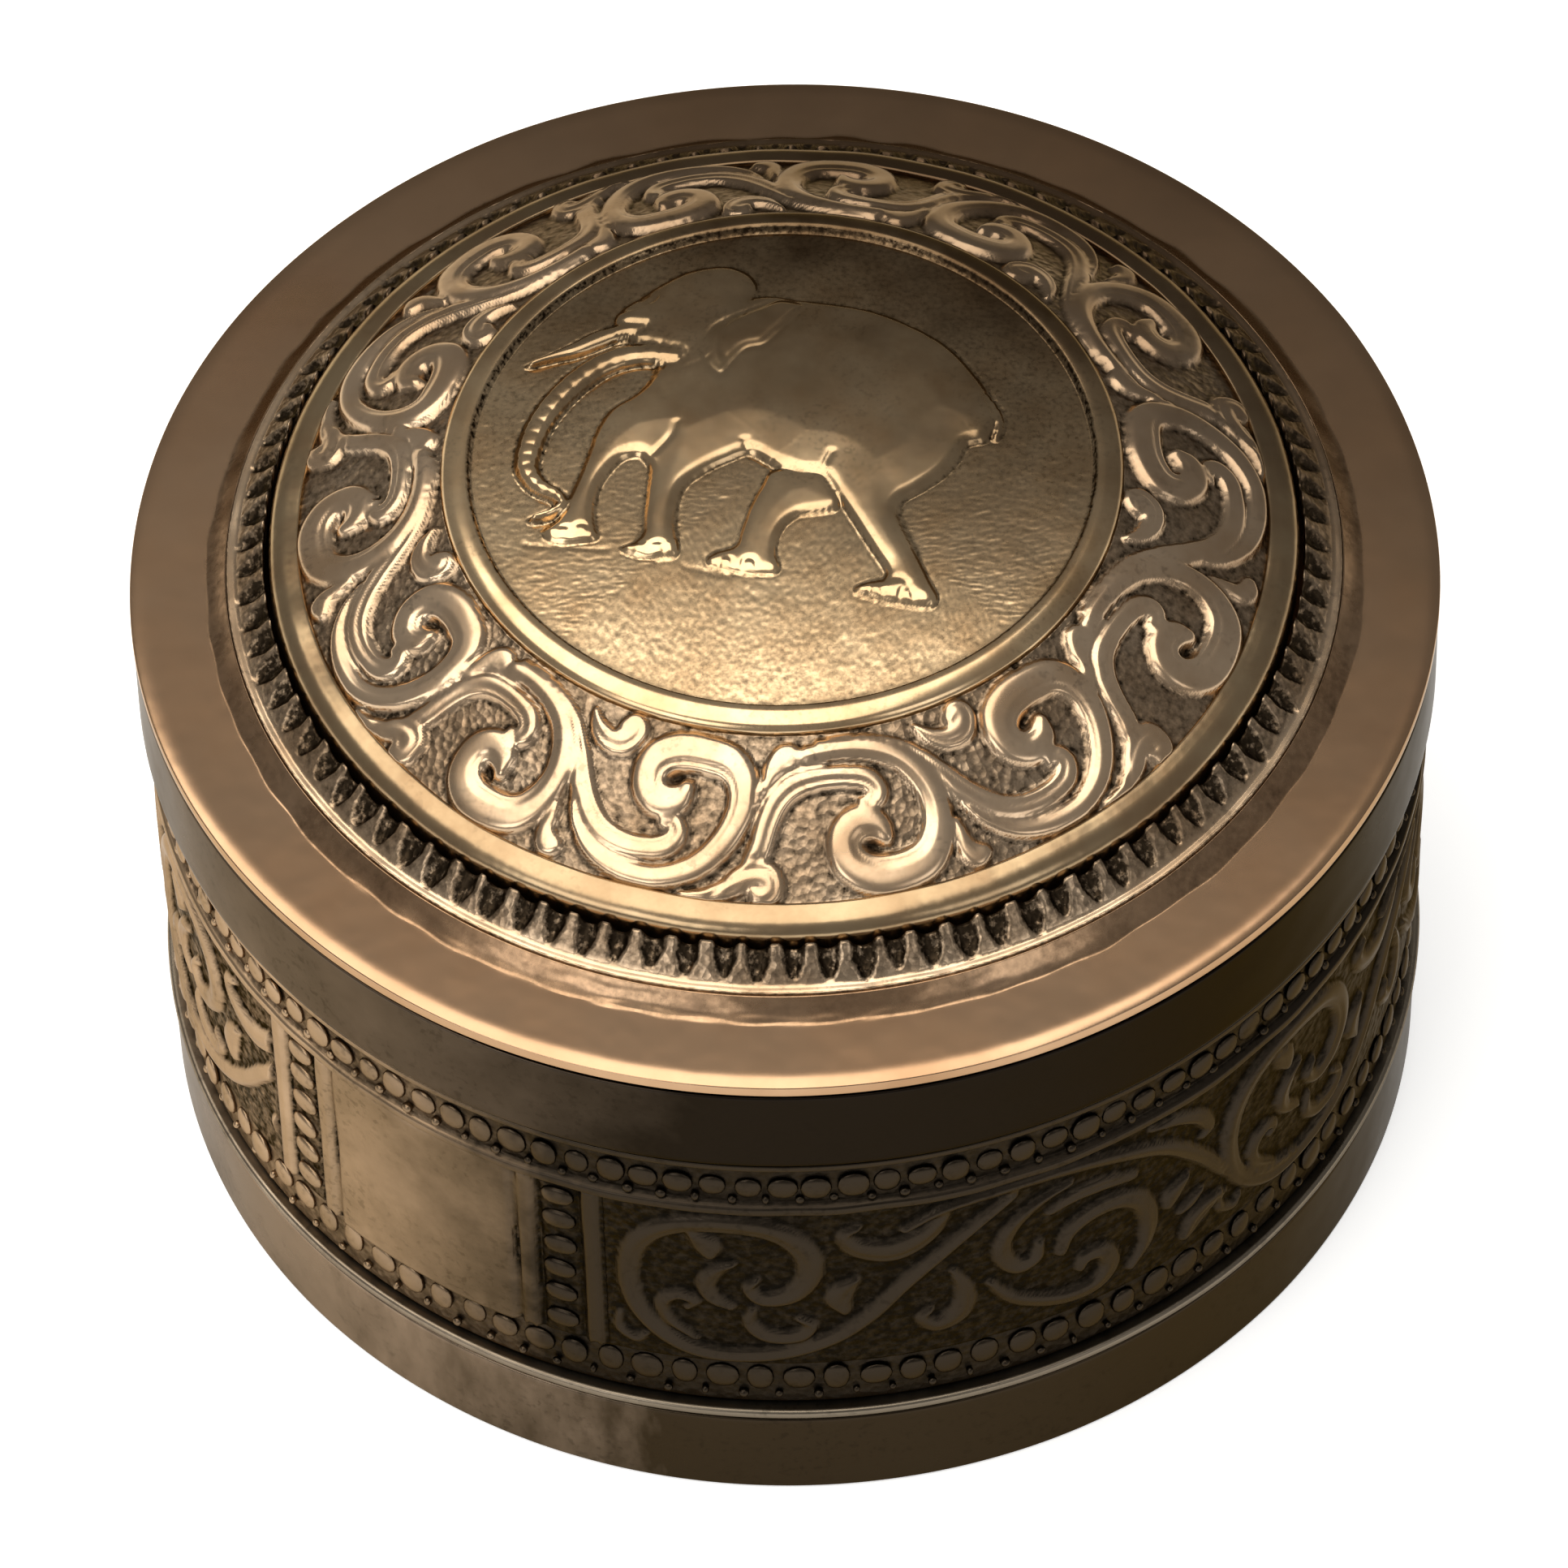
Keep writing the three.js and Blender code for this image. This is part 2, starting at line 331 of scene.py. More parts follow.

# The plain ring round the scrolls, burnished with a steel tool: a narrow line of light that
# wavers with the small dents.
# Towards the back it is painted darker: painted shade.
RING_LID = SilverFinish(
    "burnished_ring_silver", worn="a89170", tarnish="8d7254", oxide="3a2c1e", roughness_worn=0.20,
    roughness_tarnish=0.28, edge="dccfbd", shade="4a3a2a", shade_along=TO_BACK, shade_from_mm=-6,
    shade_to_mm=30, cloud_mm=5.0, dent_mm=2.5, dent_depth_mm=0.05, speck_share=0.15)

# The medallion's field, chased and then rubbed smooth: glossy, with peppery black specks.
# Towards the back, over the elephant's upper half too, it is painted darker: painted shade.
MEDALLION = SilverFinish(
    "chased_medallion_silver", worn="d4b78f", tarnish="ae8e68", oxide="20170e", roughness_worn=0.17,
    roughness_tarnish=0.24, edge="dccfbd", shade="4a3927", shade_along=TO_BACK, shade_from_mm=-10,
    shade_to_mm=19, cloud_mm=4.0, speck_mm=0.33, speck_share=0.2, scratch_depth_mm=0.001, mottle=6.0,
    recessed=True)

# The chased wall, hardly ever wiped: dull metal on the leaves and black in the ground.
# Towards the right it is painted darker: painted shade.
CHASED_WALL = SilverFinish(
    "tarnished_chased_silver", worn="ab9073", tarnish="8e775c", oxide="14110d", roughness_worn=0.30,
    roughness_tarnish=0.40, edge="cfc4b6", shade="312a22", shade_along=TO_RIGHT, shade_from_mm=-21,
    shade_to_mm=-2, shade_ragged_mm=5.0, cloud_mm=6.0, stipple_mm=0.6, stipple_depth_mm=0.12, recessed=True)

# Planished sheet left satin from the pickle inside the box: pale and matt.
# Towards the back it is painted darker: painted shade.
INNER = SilverFinish(
    "satin_inner_silver", worn="b3a189", tarnish="93806a", oxide="4a3b2c", roughness_worn=0.34,
    roughness_tarnish=0.44, edge="d0c0a8", shade="8a775f", shade_along=TO_BACK, shade_from_mm=-20,
    shade_to_mm=60, cloud_mm=9.0, speck_share=0.15)


class Slot(Enum):
    """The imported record's material slots."""

    POLISHED = "polished_silver"
    CHASED = "chased_silver"
    INNER = "inner_silver"


# Mesh helpers


def link_new(name: str, data: bpy.types.ID) -> bpy.types.Object:
    """Makes an object and links it into the scene.

    Args:
        name: The object's name.
        data: Its mesh, lamp or camera.

    Returns:
        The object, at the origin.
    """
    made = bpy.data.objects.new(name, data)
    bpy.context.scene.collection.objects.link(made)
    return made


def new_piece(name: str, vertices: np.ndarray, faces: Sequence[Sequence[int]],
              material: bpy.types.Material, recess: np.ndarray | None = None) -> bpy.types.Object:
    """Makes a closed, smooth-shaded piece with its faces pointing outwards.

    Args:
        name: The piece's name.
        vertices: Corners in millimetres, one row each.
        faces: Corner numbers of each face.
        material: The piece's material.
        recess: How deep each corner lies in the chasing, from 0 to 1.

    Returns:
        The new object, at the origin.
    """
    mesh = bpy.data.meshes.new(name)
    if signed_volume(vertices, faces) < 0:
        faces = [tuple(reversed(face)) for face in faces]
    mesh.from_pydata((vertices * MM).tolist(), [], faces)
    mesh.polygons.foreach_set("use_smooth", [True] * len(mesh.polygons))
    mesh.materials.append(material)
    if recess is not None:
        attribute = mesh.attributes.new("recess", "FLOAT", "POINT")
        attribute.data.foreach_set("value", recess.astype(np.float32))
    mesh.update()
    return link_new(name, mesh)


def signed_volume(vertices: np.ndarray, faces: Sequence[Sequence[int]]) -> float:
    """Adds up the volume inside the faces.

    Args:
        vertices: Corners, one row each.
        faces: Corner numbers of each face.

    Returns:
        The volume, negative if the faces point inwards.
    """
    total = 0.0
    by_size: dict[int, list] = {}
    for face in faces:
        by_size.setdefault(len(face), []).append(face)
    for size, group in by_size.items():
        corners = vertices[np.array(group)]
        for k in range(1, size - 1):
            total += np.einsum("ij,ij->", corners[:, 0], np.cross(corners[:, k], corners[:, k + 1]))
    return total


def settle(piece: bpy.types.Object, body: str, slot: Slot, *nodes: str) -> None:
    """Hangs a finished piece on its body, hides the CAD nodes that it replaces and logs its face count.

    Args:
        piece: The finished piece.
        body: The CAD body that carries it.
        slot: Not used.
        nodes: The CAD nodes that it replaces.
    """
    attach(piece, body)
    if nodes:
        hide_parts(*nodes)
    log.info("%s on %s: %d faces", piece.name, body, len(piece.data.polygons))


def grid_faces(columns: int, rows: int, wrap_columns: bool,
               wrap_rows: bool = False) -> list[tuple[int, int, int, int]]:
    """Quads over a grid of corners stored column by column.

    Args:
        columns: Number of columns.
        rows: Number of corners in each column.
        wrap_columns: Whether the last column meets the first.
        wrap_rows: Whether the last row meets the first.

    Returns:
        The quads.
    """
    across = columns if wrap_columns else columns - 1
    along = rows if wrap_rows else rows - 1
    c, r = np.meshgrid(np.arange(across), np.arange(along), indexing="ij")
    next_c = (c + 1) % columns
    next_r = (r + 1) % rows
    quads = np.stack([c * rows + r, next_c * rows + r, next_c * rows + next_r, c * rows + next_r], -1)
    return [tuple(quad) for quad in quads.reshape(-1, 4).tolist()]


def rounded_section(corners: Sequence[tuple[float, float, float]], steps: int = 4) -> np.ndarray:
    """Rounds the corners of a closed section and adds the points that smooth shading needs.

    Args:
        corners: Radius, height and rounding of each corner, in order.
        steps: Straight steps along each rounding.

    Returns:
        Radius and height of each point.
    """
    points = []
    places = np.array([corner[:2] for corner in corners], float)
    count = len(places)
    for i, (_, _, rounding) in enumerate(corners):
        before = places[i - 1] - places[i]
        after = places[(i + 1) % count] - places[i]
        length_before, length_after = np.linalg.norm(before), np.linalg.norm(after)
        before, after = before / length_before, after / length_after
        reach = min(rounding, 0.45 * length_before, 0.45 * length_after)
        support = min(2.2 * reach, 0.48 * length_before, 0.48 * length_after)
        points.append(places[i] + before * support)
        for k in range(steps + 1):
            share = k / steps
            first = places[i] + before * reach * (1 - share)
            second = places[i] + after * reach * share
            points.append(first * (1 - share) + second * share)
        points.append(places[i] + after * support)
    return np.array(points)


def turned_ring(sections: np.ndarray) -> tuple[np.ndarray, list]:
    """Turns sections into a ring about Z, one section for each column.

    Args:
        sections: Radius and height of each point, as columns by rows by 2.

    Returns:
        Corners and faces.
    """
    columns, rows, _ = sections.shape
    angle = np.linspace(0, 2 * math.pi, columns, endpoint=False)[:, None]
    radius, height = sections[..., 0], sections[..., 1]
    corners = np.stack([radius * np.cos(angle), radius * np.sin(angle), height], -1)
    return corners.reshape(-1, 3), grid_faces(columns, rows, True, True)


def hand_waver(columns: int, size: float, waves: int, seed: int) -> np.ndarray:
    """Slow unevenness round a hand-made ring, one value for each column.

    Args:
        columns: Number of columns round the ring.
        size: Largest departure, in millimetres.
        waves: Highest number of waves round the ring.
        seed: Seed of the random phases.

    Returns:
        The departures.
    """
    random = np.random.default_rng(seed)
    angle = np.linspace(0, 2 * math.pi, columns, endpoint=False)
    total = np.zeros(columns)
    for wave in range(2, waves + 1):
        total += np.sin(wave * angle + random.uniform(0, 2 * math.pi)) * random.uniform(0.4, 1)
    return size * total / np.abs(total).max()


def plain_ring(name: str, corners: Sequence[tuple[float, float, float]], material: bpy.types.Material,
               waver: float = 0.02, seed: int = 1, columns: int = 480,
               ripple: float = 0.0) -> bpy.types.Object:
    """A turned ring with rounded edges and a slight hand-made unevenness.

    Args:
        name: The piece's name.
        corners: Radius, height and rounding of each corner of its section.
        material: The piece's material.
        waver: Largest inward departure of its surface, in millimetres.
        seed: Seed of the unevenness.
        columns: Straight sides round the ring.
        ripple: Largest departure of its upper side's height, in millimetres.

    Returns:
        The new piece.
    """
    section = rounded_section(corners)
    sections = np.repeat(section[None], columns, 0)
    sections[..., 0] -= np.abs(hand_waver(columns, waver, 9, seed))[:, None]
    share = (section[:, 1] - section[:, 1].min()) / np.ptp(section[:, 1])
    sections[..., 1] += share * hand_waver(columns, ripple, 36, seed + 1)[:, None]
    return new_piece(name, *turned_ring(sections), material)


# Relief


def smooth_path(points: np.ndarray, steps: int = 7, closed: bool = False) -> np.ndarray:
    """Runs a smooth curve through the points.

    Args:
        points: One row for each point, with any number of values.
        steps: New points for each stretch.
        closed: Whether the curve comes back to its start.

    Returns:
        The curve's points.
    """
    if closed:
        padded = np.vstack([points[-1], points, points[0], points[1]])
    else:
        padded = np.vstack([2 * points[0] - points[1], points, 2 * points[-1] - points[-2]])
    share = np.linspace(0, 1, steps, endpoint=False)[:, None]
    curve = []
    for a, b, c, d in zip(padded, padded[1:], padded[2:], padded[3:]):
        curve.append(0.5 * (2 * b + (c - a) * share + (2 * a - 5 * b + 4 * c - d) * share**2
                            + (3 * b - a - 3 * c + d) * share**3))
    if not closed:
        curve.append(points[-1:])
    return np.vstack(curve)


@dataclass(frozen=True)
class Stroke:
    """One chased form: a swelling ridge along a path of (along, across, half width) points."""

    path: tuple[tuple[float, float, float], ...]
    height: float
    line: float | None = None  # place of a chased line along it, as a share of the half width


class Relief:
    """Heights of chased work over a grid of flat places."""

    LINER_WIDTH = 0.11
    LINER_DEPTH = 0.14
    FOOT_WIDTH = 1.6 * LINER_WIDTH  # reach of the liner's groove beside a form
    SHOULDER_POWER = 0.6
    FAR = 1e9
    NO_LENGTH = 1e-12

    def __init__(self, x: np.ndarray, y: np.ndarray, flatness: float = 4.0) -> None:
        """Starts with a flat ground.

        Args:
            x: First coordinate of each grid place.
            y: Second coordinate, in the same shape.
            flatness: Power of a ridge's section: 2 is round, more is flatter on top.
        """
        self.flatness = flatness
        self.shape = x.shape
        self.x = x.ravel()
        self.y = y.ravel()
        self.height = np.zeros(self.x.size)
        self.ground = np.ones(self.x.size)

    def _near(self, points: np.ndarray, reach: float) -> np.ndarray:
        """Finds the grid places round a curve.

        Args:
            points: Rows of x, y and any further values.
            reach: How far outside the points' box a place may lie.

        Returns:
            The places' numbers.
        """
        low = points[:, :2].min(0) - reach
        high = points[:, :2].max(0) + reach
        inside = (self.x > low[0]) & (self.x < high[0]) & (self.y > low[1]) & (self.y < high[1])
        return np.nonzero(inside)[0]

    def _stretches(self, near: np.ndarray, curve: np.ndarray) -> Iterator[tuple[np.ndarray, ...]]:
        """Measures the places against each straight stretch of a curve in turn.

        Args:
            near: Numbers of the places.
            curve: Rows of x, y and any further values.

        Yields:
            The stretch's two ends, then for each place how far along the stretch its nearest
            point lies, from 0 to 1, the distance to it, and the side: 1 left, -1 right.
        """
        x, y = self.x[near], self.y[near]
        for start, end in zip(curve, curve[1:]):
            dx, dy = end[0] - start[0], end[1] - start[1]
            length = dx * dx + dy * dy
            if length < self.NO_LENGTH:
                continue
            share = np.clip(((x - start[0]) * dx + (y - start[1]) * dy) / length, 0, 1)
            away_x, away_y = x - start[0] - share * dx, y - start[1] - share * dy
            yield start, end, share, np.hypot(away_x, away_y), np.sign(dx * away_y - dy * away_x)

    def ridge(self, path: np.ndarray, height: float, line: float | None = None) -> None:
        """Raises a rounded ridge along a smooth path, with a liner's groove at its foot.

        Args:
            path: Rows of x, y and half width.
            height: Height of its crest.
            line: Place of a chased line along it, as a share of the half width.
        """
        curve = smooth_path(path)
        near = self._near(curve, curve[:, 2].max() + 3 * self.LINER_WIDTH)
        if not near.size:
            return
        best = np.full(near.size, self.FAR)
        best_width = np.ones(near.size)
        best_side = np.zeros(near.size)
        for start, end, along, distance, side in self._stretches(near, curve):
            width = start[2] + along * (end[2] - start[2])
            closer = distance / width < best / best_width
            best = np.where(closer, distance, best)
            best_width = np.where(closer, width, best_width)
            best_side = np.where(closer, side, best_side)
        share = best / best_width
        round_top = height * np.clip(1 - share**self.flatness, 0, 1) ** self.SHOULDER_POWER
        if line is not None:
            offset = (share * best_side - line) * best_width / self.LINER_WIDTH
            round_top = round_top - self.LINER_DEPTH * np.exp(-(offset**2)) * (share < 1)
        foot = np.clip(1 - np.abs(best - best_width) / self.FOOT_WIDTH, 0, 1)
        carved = self.height[near] - self.LINER_DEPTH * foot * (share >= 1)
        self.height[near] = np.where(share < 1, np.maximum(round_top, carved * (share > 0.8)), carved)
        self.ground[near] = np.where(share < 1, 0, self.ground[near])

    def pillow(self, outline: np.ndarray, height: float, shoulder: float, crown: float = 0.0,
               liner: float = LINER_DEPTH) -> None:
        """Raises a closed outline with rounded shoulders.

        Args:
            outline: Rows of x and y.
            height: Height inside the shoulders.
            shoulder: Width of the rounded shoulder.
            crown: Further height gained towards the middle.
            liner: Depth of the liner's groove round its foot.
        """
        curve = smooth_path(outline, 5, closed=True)
        near = self._near(curve, 3 * self.LINER_WIDTH)
        x, y = self.x[near], self.y[near]
        best = np.full(near.size, self.FAR)
        inside = np.zeros(near.size, bool)
        for (ax, ay), (bx, by), _, distance, _ in self._stretches(near, np.vstack([curve, curve[:1]])):
            best = np.minimum(best, distance)
            if ay != by:
                crossing = (ay > y) != (by > y)
                inside ^= crossing & (x < ax + (y - ay) * (bx - ax) / (by - ay))
        share = np.clip(best / shoulder, 0, 1)
        raised = height * np.sqrt(1 - (1 - share) ** 2) + crown * np.clip(best / (4 * shoulder), 0, 1)
        carved = self.height[near] - liner * np.clip(1 - best / self.FOOT_WIDTH, 0, 1)
        self.height[near] = np.where(inside, np.maximum(raised, carved), carved)
        self.ground[near] = np.where(inside, 0, self.ground[near])

    def groove(self, path: np.ndarray, width: float, depth: float) -> None:
        """Chases a line into what stands.

        Args:
            path: Rows of x and y.
            width: Half width of the line.
            depth: Its depth.
        """
        curve = smooth_path(path)
        near = self._near(curve, 3 * width)
        best = np.full(near.size, self.FAR)
        for _, _, _, distance, _ in self._stretches(near, curve):
            best = np.minimum(best, distance)
        self.height[near] -= depth * np.exp(-((best / width) ** 2))

    def matting(self, depth: float, seed: int) -> None:
        """Roughens the ground with punch marks.

        Args:
            depth: Depth of the marks.
            seed: Seed of the marks.
        """
        random = np.random.default_rng(seed)
        self.height -= self.ground * depth * random.random(self.height.size)

    def heights(self) -> np.ndarray:
        """The finished heights, softened over one grid step, in the grid's shape."""
        return softened(self.height.reshape(self.shape), 1)

    def recess(self, wide: int, scale: float, ground_share: float) -> np.ndarray:
        """How far each place lies below its neighbourhood, from 0 to 1.

        Args:
            wide: Reach of the neighbourhood, in grid steps.
            scale: Depth that counts as fully recessed.
            ground_share: What the ground has even where it is wide.

        Returns:
            The recess, in the grid's shape.
        """
        height = self.heights()
        cavity = (softened(height, wide) - height) / scale
        return np.clip(cavity + ground_share * softened(self.ground.reshape(self.shape), 1), 0, 1)


def softened(grid: np.ndarray, reach: int) -> np.ndarray:
    """Averages a grid over its neighbours, along both axes.

    Args:
        grid: The values.
        reach: Reach of the average, in grid steps.

    Returns:
        The averaged values.
    """
    for axis in (0, 1):
        shifted = [np.roll(grid, step, axis) * (reach + 1 - abs(step)) for step in range(-reach, reach + 1)]
        grid = sum(shifted) / (reach + 1) ** 2
    return grid


# The running scroll


@dataclass(frozen=True)
class Scroll:
    """One volute of the running scroll.

    It is written in the lid's millimetres, with x along the band, in the way that the scroll
    grows, and y across it. An arm comes over from the volute before and ends as a curled leaf;
    a ring leaves the arm's back, runs round outside the leaf and rolls up into a fat lobe.
    Every other volute is the same one upside down, so the arm crosses the band each time.
    """

    pitch: float = 11.31
    arm: Stroke = Stroke(
        ((-11.6, -4.1, 0.17), (-9.9, -3.95, 0.43), (-7.8, -3.1, 0.67), (-6.5, -1.6, 0.74),
         (-5.7, -0.1, 0.79), (-4.9, 1.05, 0.82), (-3.75, 1.85, 0.77), (-2.3, 2.15, 0.7),
         (-0.9, 2.1, 0.67), (0.25, 1.8, 0.72), (0.8, 1.1, 0.7), (0.4, 0.5, 0.53), (-0.2, 0.65, 0.36)),
        0.85, 0.3)
    ring: Stroke = Stroke(
        ((-6.1, 0.7, 0.13), (-5.4, 1.95, 0.35), (-4.1, 2.95, 0.53), (-2.2, 3.45, 0.62), (0.0, 3.45, 0.66),
         (1.9, 2.8, 0.73), (3.2, 1.6, 0.81), (3.95, 0.0, 0.9), (3.9, -1.6, 1.03), (3.0, -2.8, 1.1),
         (1.4, -3.2, 1.12), (-0.2, -3.1, 1.16), (-1.4, -2.35, 1.16), (-1.55, -1.15, 1.1), (-0.7, -0.4, 0.99),
         (0.35, -0.6, 0.86), (0.75, -1.25, 0.55)), 1.0, 0.5)
    buds: tuple[Stroke, ...] = (
        # the crook that sits on the next arm's back
        Stroke(((3.6, 3.9, 0.2), (4.5, 3.1, 0.51), (5.5, 2.7, 0.7), (6.45, 2.85, 0.81),
                (6.75, 3.6, 0.7), (6.2, 4.0, 0.54), (5.75, 3.65, 0.35)), 0.8, 0.3),
        # the drop that fills the corner below the ring
        Stroke(((5.05, -1.3, 0.16), (5.2, -2.1, 0.43), (5.35, -2.85, 0.62), (5.85, -3.4, 0.76),
                (6.4, -3.4, 0.51)), 0.75),
    )
    eye: tuple[float, float, float] = (0.1, -1.75, 0.24)  # x, y and radius of the punched dot in the lobe


SCROLL = Scroll()


@dataclass(frozen=True)
class WallScroll:
    """The two volutes of the wall's scroll, in millimetres along the wall and up it.

    Their stem runs from one to the next: it rolls up into a spiral of leaves that fills the
    panel's height, once from below and once from above.
    """

    low: tuple[Stroke, ...] = (
        # the stem, round the bottom and the left, over the top and into the spiral
        Stroke(((16.2, 6.4, 0.46), (14.2, 4.7, 0.57), (12.0, 2.6, 0.67), (9.4, -0.2, 0.74), (7.4, -2.8, 0.76),
                (5.0, -5.0, 0.76), (1.5, -6.5, 0.78), (-2.5, -6.7, 0.8), (-5.0, -5.5, 0.83),
                (-6.8, -3.0, 0.87), (-7.4, 0.3, 0.92), (-6.8, 3.5, 0.94), (-4.9, 5.7, 0.94),
                (-1.8, 6.5, 0.98), (1.4, 6.0, 1.03), (3.3, 4.1, 1.09), (3.7, 1.6, 1.06), (2.6, -0.4, 0.98),
                (0.9, -0.9, 0.8), (0.0, 0.1, 0.57), (0.5, 1.0, 0.34)), 1.0, -0.35),
        # leaves inside the spiral
        Stroke(((-3.3, 5.3, 0.5), (-2.5, 4.3, 1.1), (-2.3, 3.4, 0.6)), 0.9),
        Stroke(((-0.9, 2.5, 0.3), (-1.9, 1.8, 0.65), (-2.6, 0.5, 0.8), (-2.3, -0.9, 0.7), (-1.1, -1.8, 0.4)),
               0.9, 0.3),
        Stroke(((-3.3, -5.4, 0.29), (-5.0, -3.7, 0.57), (-5.3, -2.0, 0.63), (-4.3, -1.0, 0.6),
                (-3.3, -1.6, 0.46), (-3.8, -2.3, 0.29)), 0.85, 0.3),
        Stroke(((0.2, -2.0, 0.29), (0.0, -3.5, 0.63), (1.1, -4.7, 0.8), (2.9, -4.7, 0.76), (3.7, -3.7, 0.57),
                (3.0, -3.0, 0.34)), 0.85, 0.3),
        # the corner leaf, the leaf that hangs from the stem, its bud and the leaf under the stem
        Stroke(((-8.0, -3.8, 0.23), (-8.1, -5.4, 0.48), (-7.0, -6.3, 0.48), (-6.4, -5.6, 0.29)), 0.7),
        Stroke(((12.2, 6.4, 0.4), (10.9, 4.5, 0.92), (8.8, 3.3, 1.26), (6.6, 3.9, 0.98), (5.7, 5.3, 0.57),
                (6.6, 6.0, 0.34)), 0.85, 0.4),
        Stroke(((6.5, 0.8, 0.35), (5.7, -0.2, 0.95), (5.4, -1.2, 1.05), (5.8, -2.3, 0.5)), 0.9, 0.3),
        Stroke(((12.4, 0.2, 0.29), (13.1, -2.0, 0.75), (12.8, -4.1, 1.03), (11.4, -5.0, 0.86),
                (10.4, -4.0, 0.52), (11.0, -3.3, 0.32)), 0.85, 0.4),
    )
    high: tuple[Stroke, ...] = (
        # the stem, over the top from the volute before and down to the next
        Stroke(((-10.2, 5.2, 0.34), (-7.7, 6.6, 0.52), (-3.7, 7.1, 0.57), (0.3, 6.9, 0.67), (3.7, 6.0, 0.74),
                (6.5, 4.7, 0.76), (8.5, 2.9, 0.76), (10.3, 0.6, 0.71), (11.7, -1.6, 0.69), (13.4, -3.8, 0.67),
                (15.4, -5.4, 0.57), (18.2, -6.3, 0.41)), 1.0, -0.35),
        # the hook at the left
        Stroke(((0.5, 5.5, 0.23), (-1.5, 4.8, 0.53), (-3.3, 3.3, 0.69), (-4.1, 1.5, 0.8), (-3.9, -0.2, 0.85),
                (-3.0, -1.2, 0.83), (-1.9, -0.7, 0.64), (-1.7, 0.5, 0.41)), 0.9, 0.35),
        # the strand along the bottom, which curls up
        Stroke(((-4.9, -2.0, 0.34), (-3.7, -3.9, 0.63), (-1.9, -5.2, 0.76), (0.3, -6.0, 0.83),
                (2.2, -5.8, 0.92), (3.1, -4.4, 0.94), (2.6, -2.9, 0.85), (1.4, -2.7, 0.67),
                (1.0, -3.6, 0.44)), 0.95, -0.3),
        # the ring round the curl
        Stroke(((-0.3, -1.1, 0.57), (0.3, 0.6, 0.76), (1.9, 1.6, 0.9), (3.8, 1.5, 0.97), (5.3, 0.2, 0.97),
                (5.9, -1.9, 0.9), (5.6, -4.2, 0.69), (4.6, -5.9, 0.39)), 0.95, 0.35),
        Stroke(((-1.1, 3.2, 0.34), (0.5, 3.9, 0.67), (2.7, 3.9, 0.78), (4.7, 3.3, 0.48)), 0.75, 0.2),
        # the buds on the stem
        Stroke(((8.7, 0.2, 0.35), (7.7, -0.8, 0.95), (7.3, -1.6, 0.6)), 0.85),
        Stroke(((11.9, -4.3, 0.3), (10.7, -4.1, 0.8), (9.5, -4.7, 1.0), (8.7, -5.9, 0.6)), 0.9, 0.2),
        Stroke(((8.2, -3.2, 0.3), (9.0, -2.9, 0.6), (9.9, -2.2, 0.35)), 0.7),
        Stroke(((5.9, 6.9, 0.25), (7.9, 6.4, 0.6), (9.7, 5.2, 0.78), (10.5, 3.6, 0.6), (9.9, 3.1, 0.35)),
               0.8, 0.3),
    )


WALL_SCROLL = WallScroll()


# The boss trees


class Layout(Enum):
    """How a row of bosses runs."""

    RING = "ring"
    COLUMN = "column"


